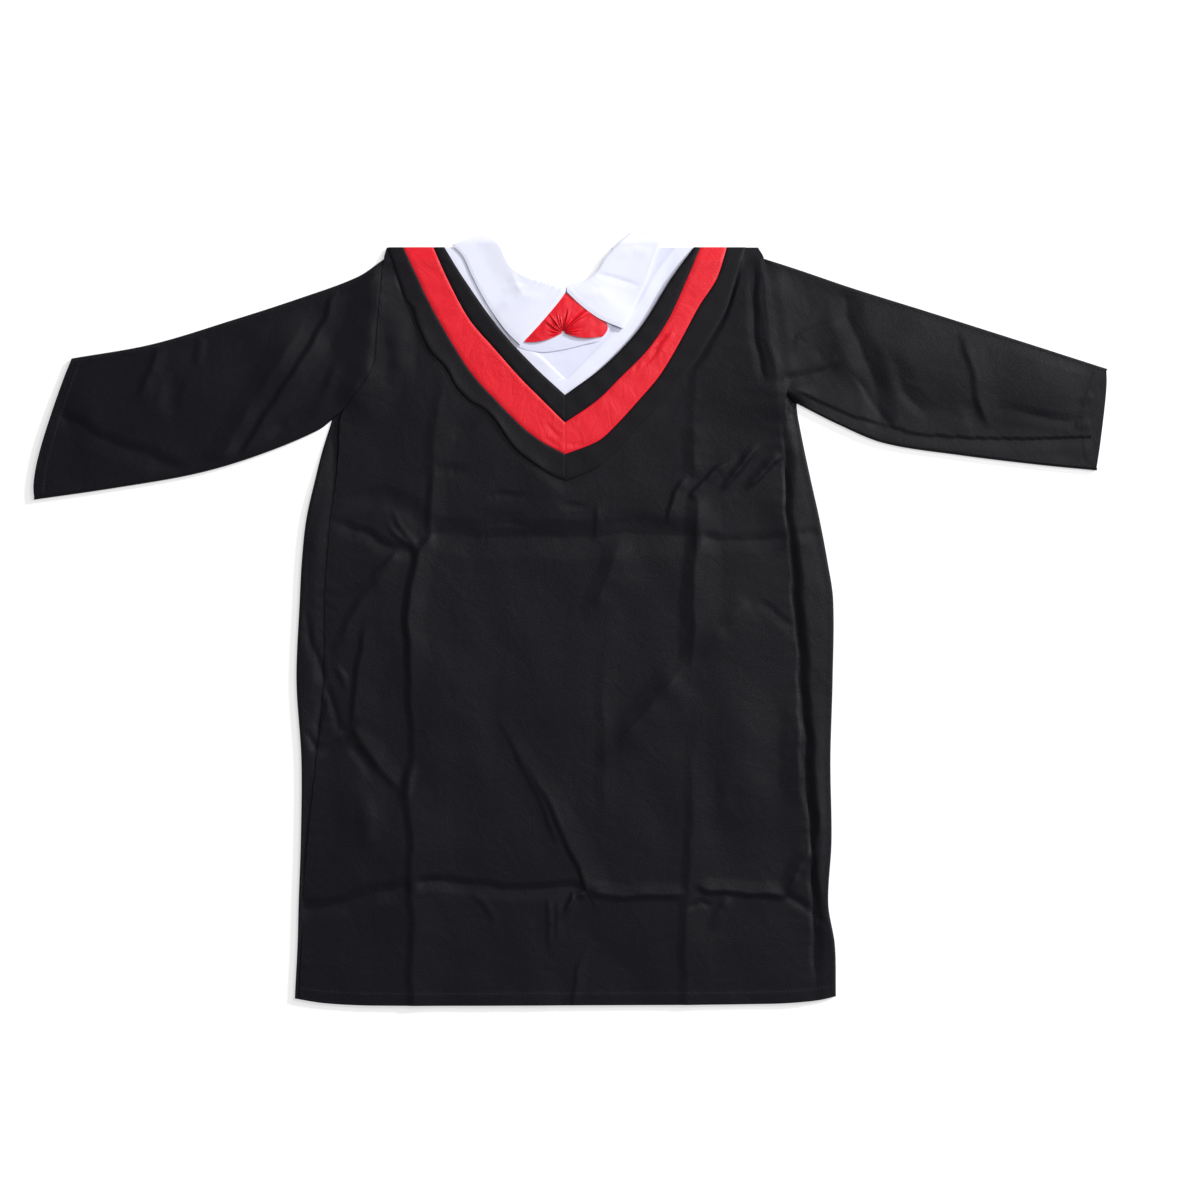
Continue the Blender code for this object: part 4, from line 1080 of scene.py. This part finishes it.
def bow_place(s, t):
    angle = mix(FAN[-1][0], FAN[0][0], s)
    turn = np.radians(angle)
    out = mix(0.05, 1.0, t)
    radius = fan_reach(angle) * out
    x = GATHER[0] + radius * np.cos(turn)
    y = GATHER[1] + radius * np.sin(turn)
    y = y - BOW_SAG * np.sin(math.pi * out) * ease(abs(np.cos(turn)), 0.8, 1)
    puff = BOW_RISE * np.sin(math.pi * np.clip(out * 0.95 + 0.05, 0, 1))
    pleated = 0
    for pleat in PLEATS:
        away = (angle - pleat.angle - pleat.sway * out) / (pleat.width * (1 + 0.8 * out))
        fade = ease(out, 0.03, 0.16) * (1 - ease(out, 0.4 * pleat.reach, pleat.reach))
        pleated += pleat.height * fade * (np.exp(-away * away) - 0.7 * np.exp(-(away - 1.6) ** 2))
    z = BOW_Z + puff + PLEAT_RISE * pleated - GATHER_DIP * np.exp(-out * 12)
    soft = np.sin(x / 2.6 + 1.5 * np.sin(y / 3.7)) * np.sin(y / 3.1 + np.sin(x / 4.3))
    return x, y, z + 0.22 * soft * ease(out, 0.35, 0.7), x, y


bow_grid = (spread((0, 1, 300)), spread((0, 1, 44)), bow_place)
dress("bow", [bow_grid], SATIN_WALL, red_satin)

# Collar leaves: two doubled pieces of white poplin folded down over the stand, topstitched
# along their edges. They lie over the bow and reach past the shoulders on to the table.
LEAF_WALL = 0.9
LEAF_REST_Z = 3.55
LEAF_NECK_Z = 4.5
LEAF_TABLE_Z = 1.0
LEAF_LENGTH = 90
LEAF_DEPTH = 50
LEAF_EDGE_DIP = 0.7
STITCHES_END = 0.042
STITCHES_SIDE = 0.925
Under = namedtuple("Under", "x y half_width half_height start end leaf_z")
STAND_UNDER = Under(-8, 268, 56, 27, 1.0, 1.35, 4.3)
BOW_UNDER = Under(-4, 272, 45, 33, 0.8, 1.6, 5.5)
Leaf = namedtuple("Leaf", "neck outer front back gather creases")
LEAVES = {
    "right": Leaf(
        neck=[(-4.5, 305), (-20, 310), (-41, 316), (-55, 325), (-64, 343), (-74, 353)],
        outer=[(-46, 251), (-58, 263), (-70, 279), (-80, 295), (-90, 314), (-99, 333),
               (-109, 343.5)],
        front=[(-4.5, 305), (-5, 299), (-24, 275), (-46, 251)],
        back=[(-74, 353), (-92, 350), (-109, 343.5)],
        gather=0.25,
        creases=[
            Fold("soft fold along the leaf", [(-70, 284), (-46, 296), (-22, 296)], 0.45, 6, 9),
            Fold("fold at the turn", [(-56, 322), (-48, 304), (-40, 292)], 0.45, 5, 8),
            Fold("short fold", [(-64, 300), (-50, 305), (-36, 303)], 0.35, 5, 6, 0.3, 0.3, "soft"),
        ],
    ),
    "left": Leaf(
        neck=[(-3.6, 305), (14, 311), (24, 320), (31, 331), (43, 344), (54, 354)],
        outer=[(49, 266), (56, 278), (63, 294), (70, 308), (77, 328), (84, 348)],
        front=[(-3.6, 305), (-2.4, 299), (24, 277), (49, 266)],
        back=[(54, 354), (70, 355.5), (84, 348)],
        gather=0.08,
        creases=[
            Fold("crease across the leaf", [(20, 318), (40, 313), (68, 304)], -0.5, 4, 6),
            Fold("soft fold", [(10, 296), (28, 299), (40, 292)], 0.3, 6, 7, 0.3, 0.3, "soft"),
            Fold("upper fold", [(40, 332), (58, 338), (76, 336)], 0.3, 6, 7, 0.3, 0.3, "soft"),
        ],
    ),
}


def leaf_places(leaf):
    inside = patch(leaf.neck, leaf.outer, leaf.front, leaf.back)

    def place(s, t):
        x, y = inside(s, t)
        z = mix(LEAF_NECK_Z, LEAF_REST_Z, ease(t, 0, 0.6))
        for under in (STAND_UNDER, BOW_UNDER):
            away = np.hypot((x - under.x) / under.half_width, (y - under.y) / under.half_height)
            z = np.maximum(z, mix(under.leaf_z, z, ease(away, under.start, under.end)))
        z = mix(z, LEAF_TABLE_Z + 0.8 * (1 - t), ease(y, SHOULDER_Y + 3, SHOULDER_Y + 15))
        rim = np.minimum(np.minimum(t, 1 - t) * LEAF_DEPTH, s * LEAF_LENGTH)
        z += 0.3 * ease(rim, 0, 3) - LEAF_EDGE_DIP * (1 - ease(t * LEAF_DEPTH, 0, 3))
        z += sum(fold_shape(crease, x, y) for crease in leaf.creases)
        gathers = np.sin(s * 130 + 2 * np.sin(s * 31)) * np.exp(-t * 8) * (1 - ease(s, 0.35, 0.55))
        return x, y, z + leaf.gather * gathers * ease(t, 0, 0.04), x, y

    return place


white_thread = thread_colour("white thread", (0.78, 0.79, 0.88))
for side, leaf in LEAVES.items():
    leaf_place = leaf_places(leaf)
    leaf_grid = (spread((0, 1, 90)), spread((0, 1, 48)), leaf_place)
    # The leaves take the lighter poplin: painted light on the top layer.
    dress(f"collar_{side}", [leaf_grid], LEAF_WALL, poplin_painted_light)
    edge_s = np.concatenate((np.full(120, STITCHES_END), np.linspace(STITCHES_END, 0.97, 240)))
    edge_t = np.concatenate((np.linspace(0.08, STITCHES_SIDE, 120), np.full(240, STITCHES_SIDE)))
    edge_run = on_top(leaf_place, edge_s, edge_t, LEAF_WALL)
    sew(f"collar_{side}_stitches", [edge_run], white_thread)
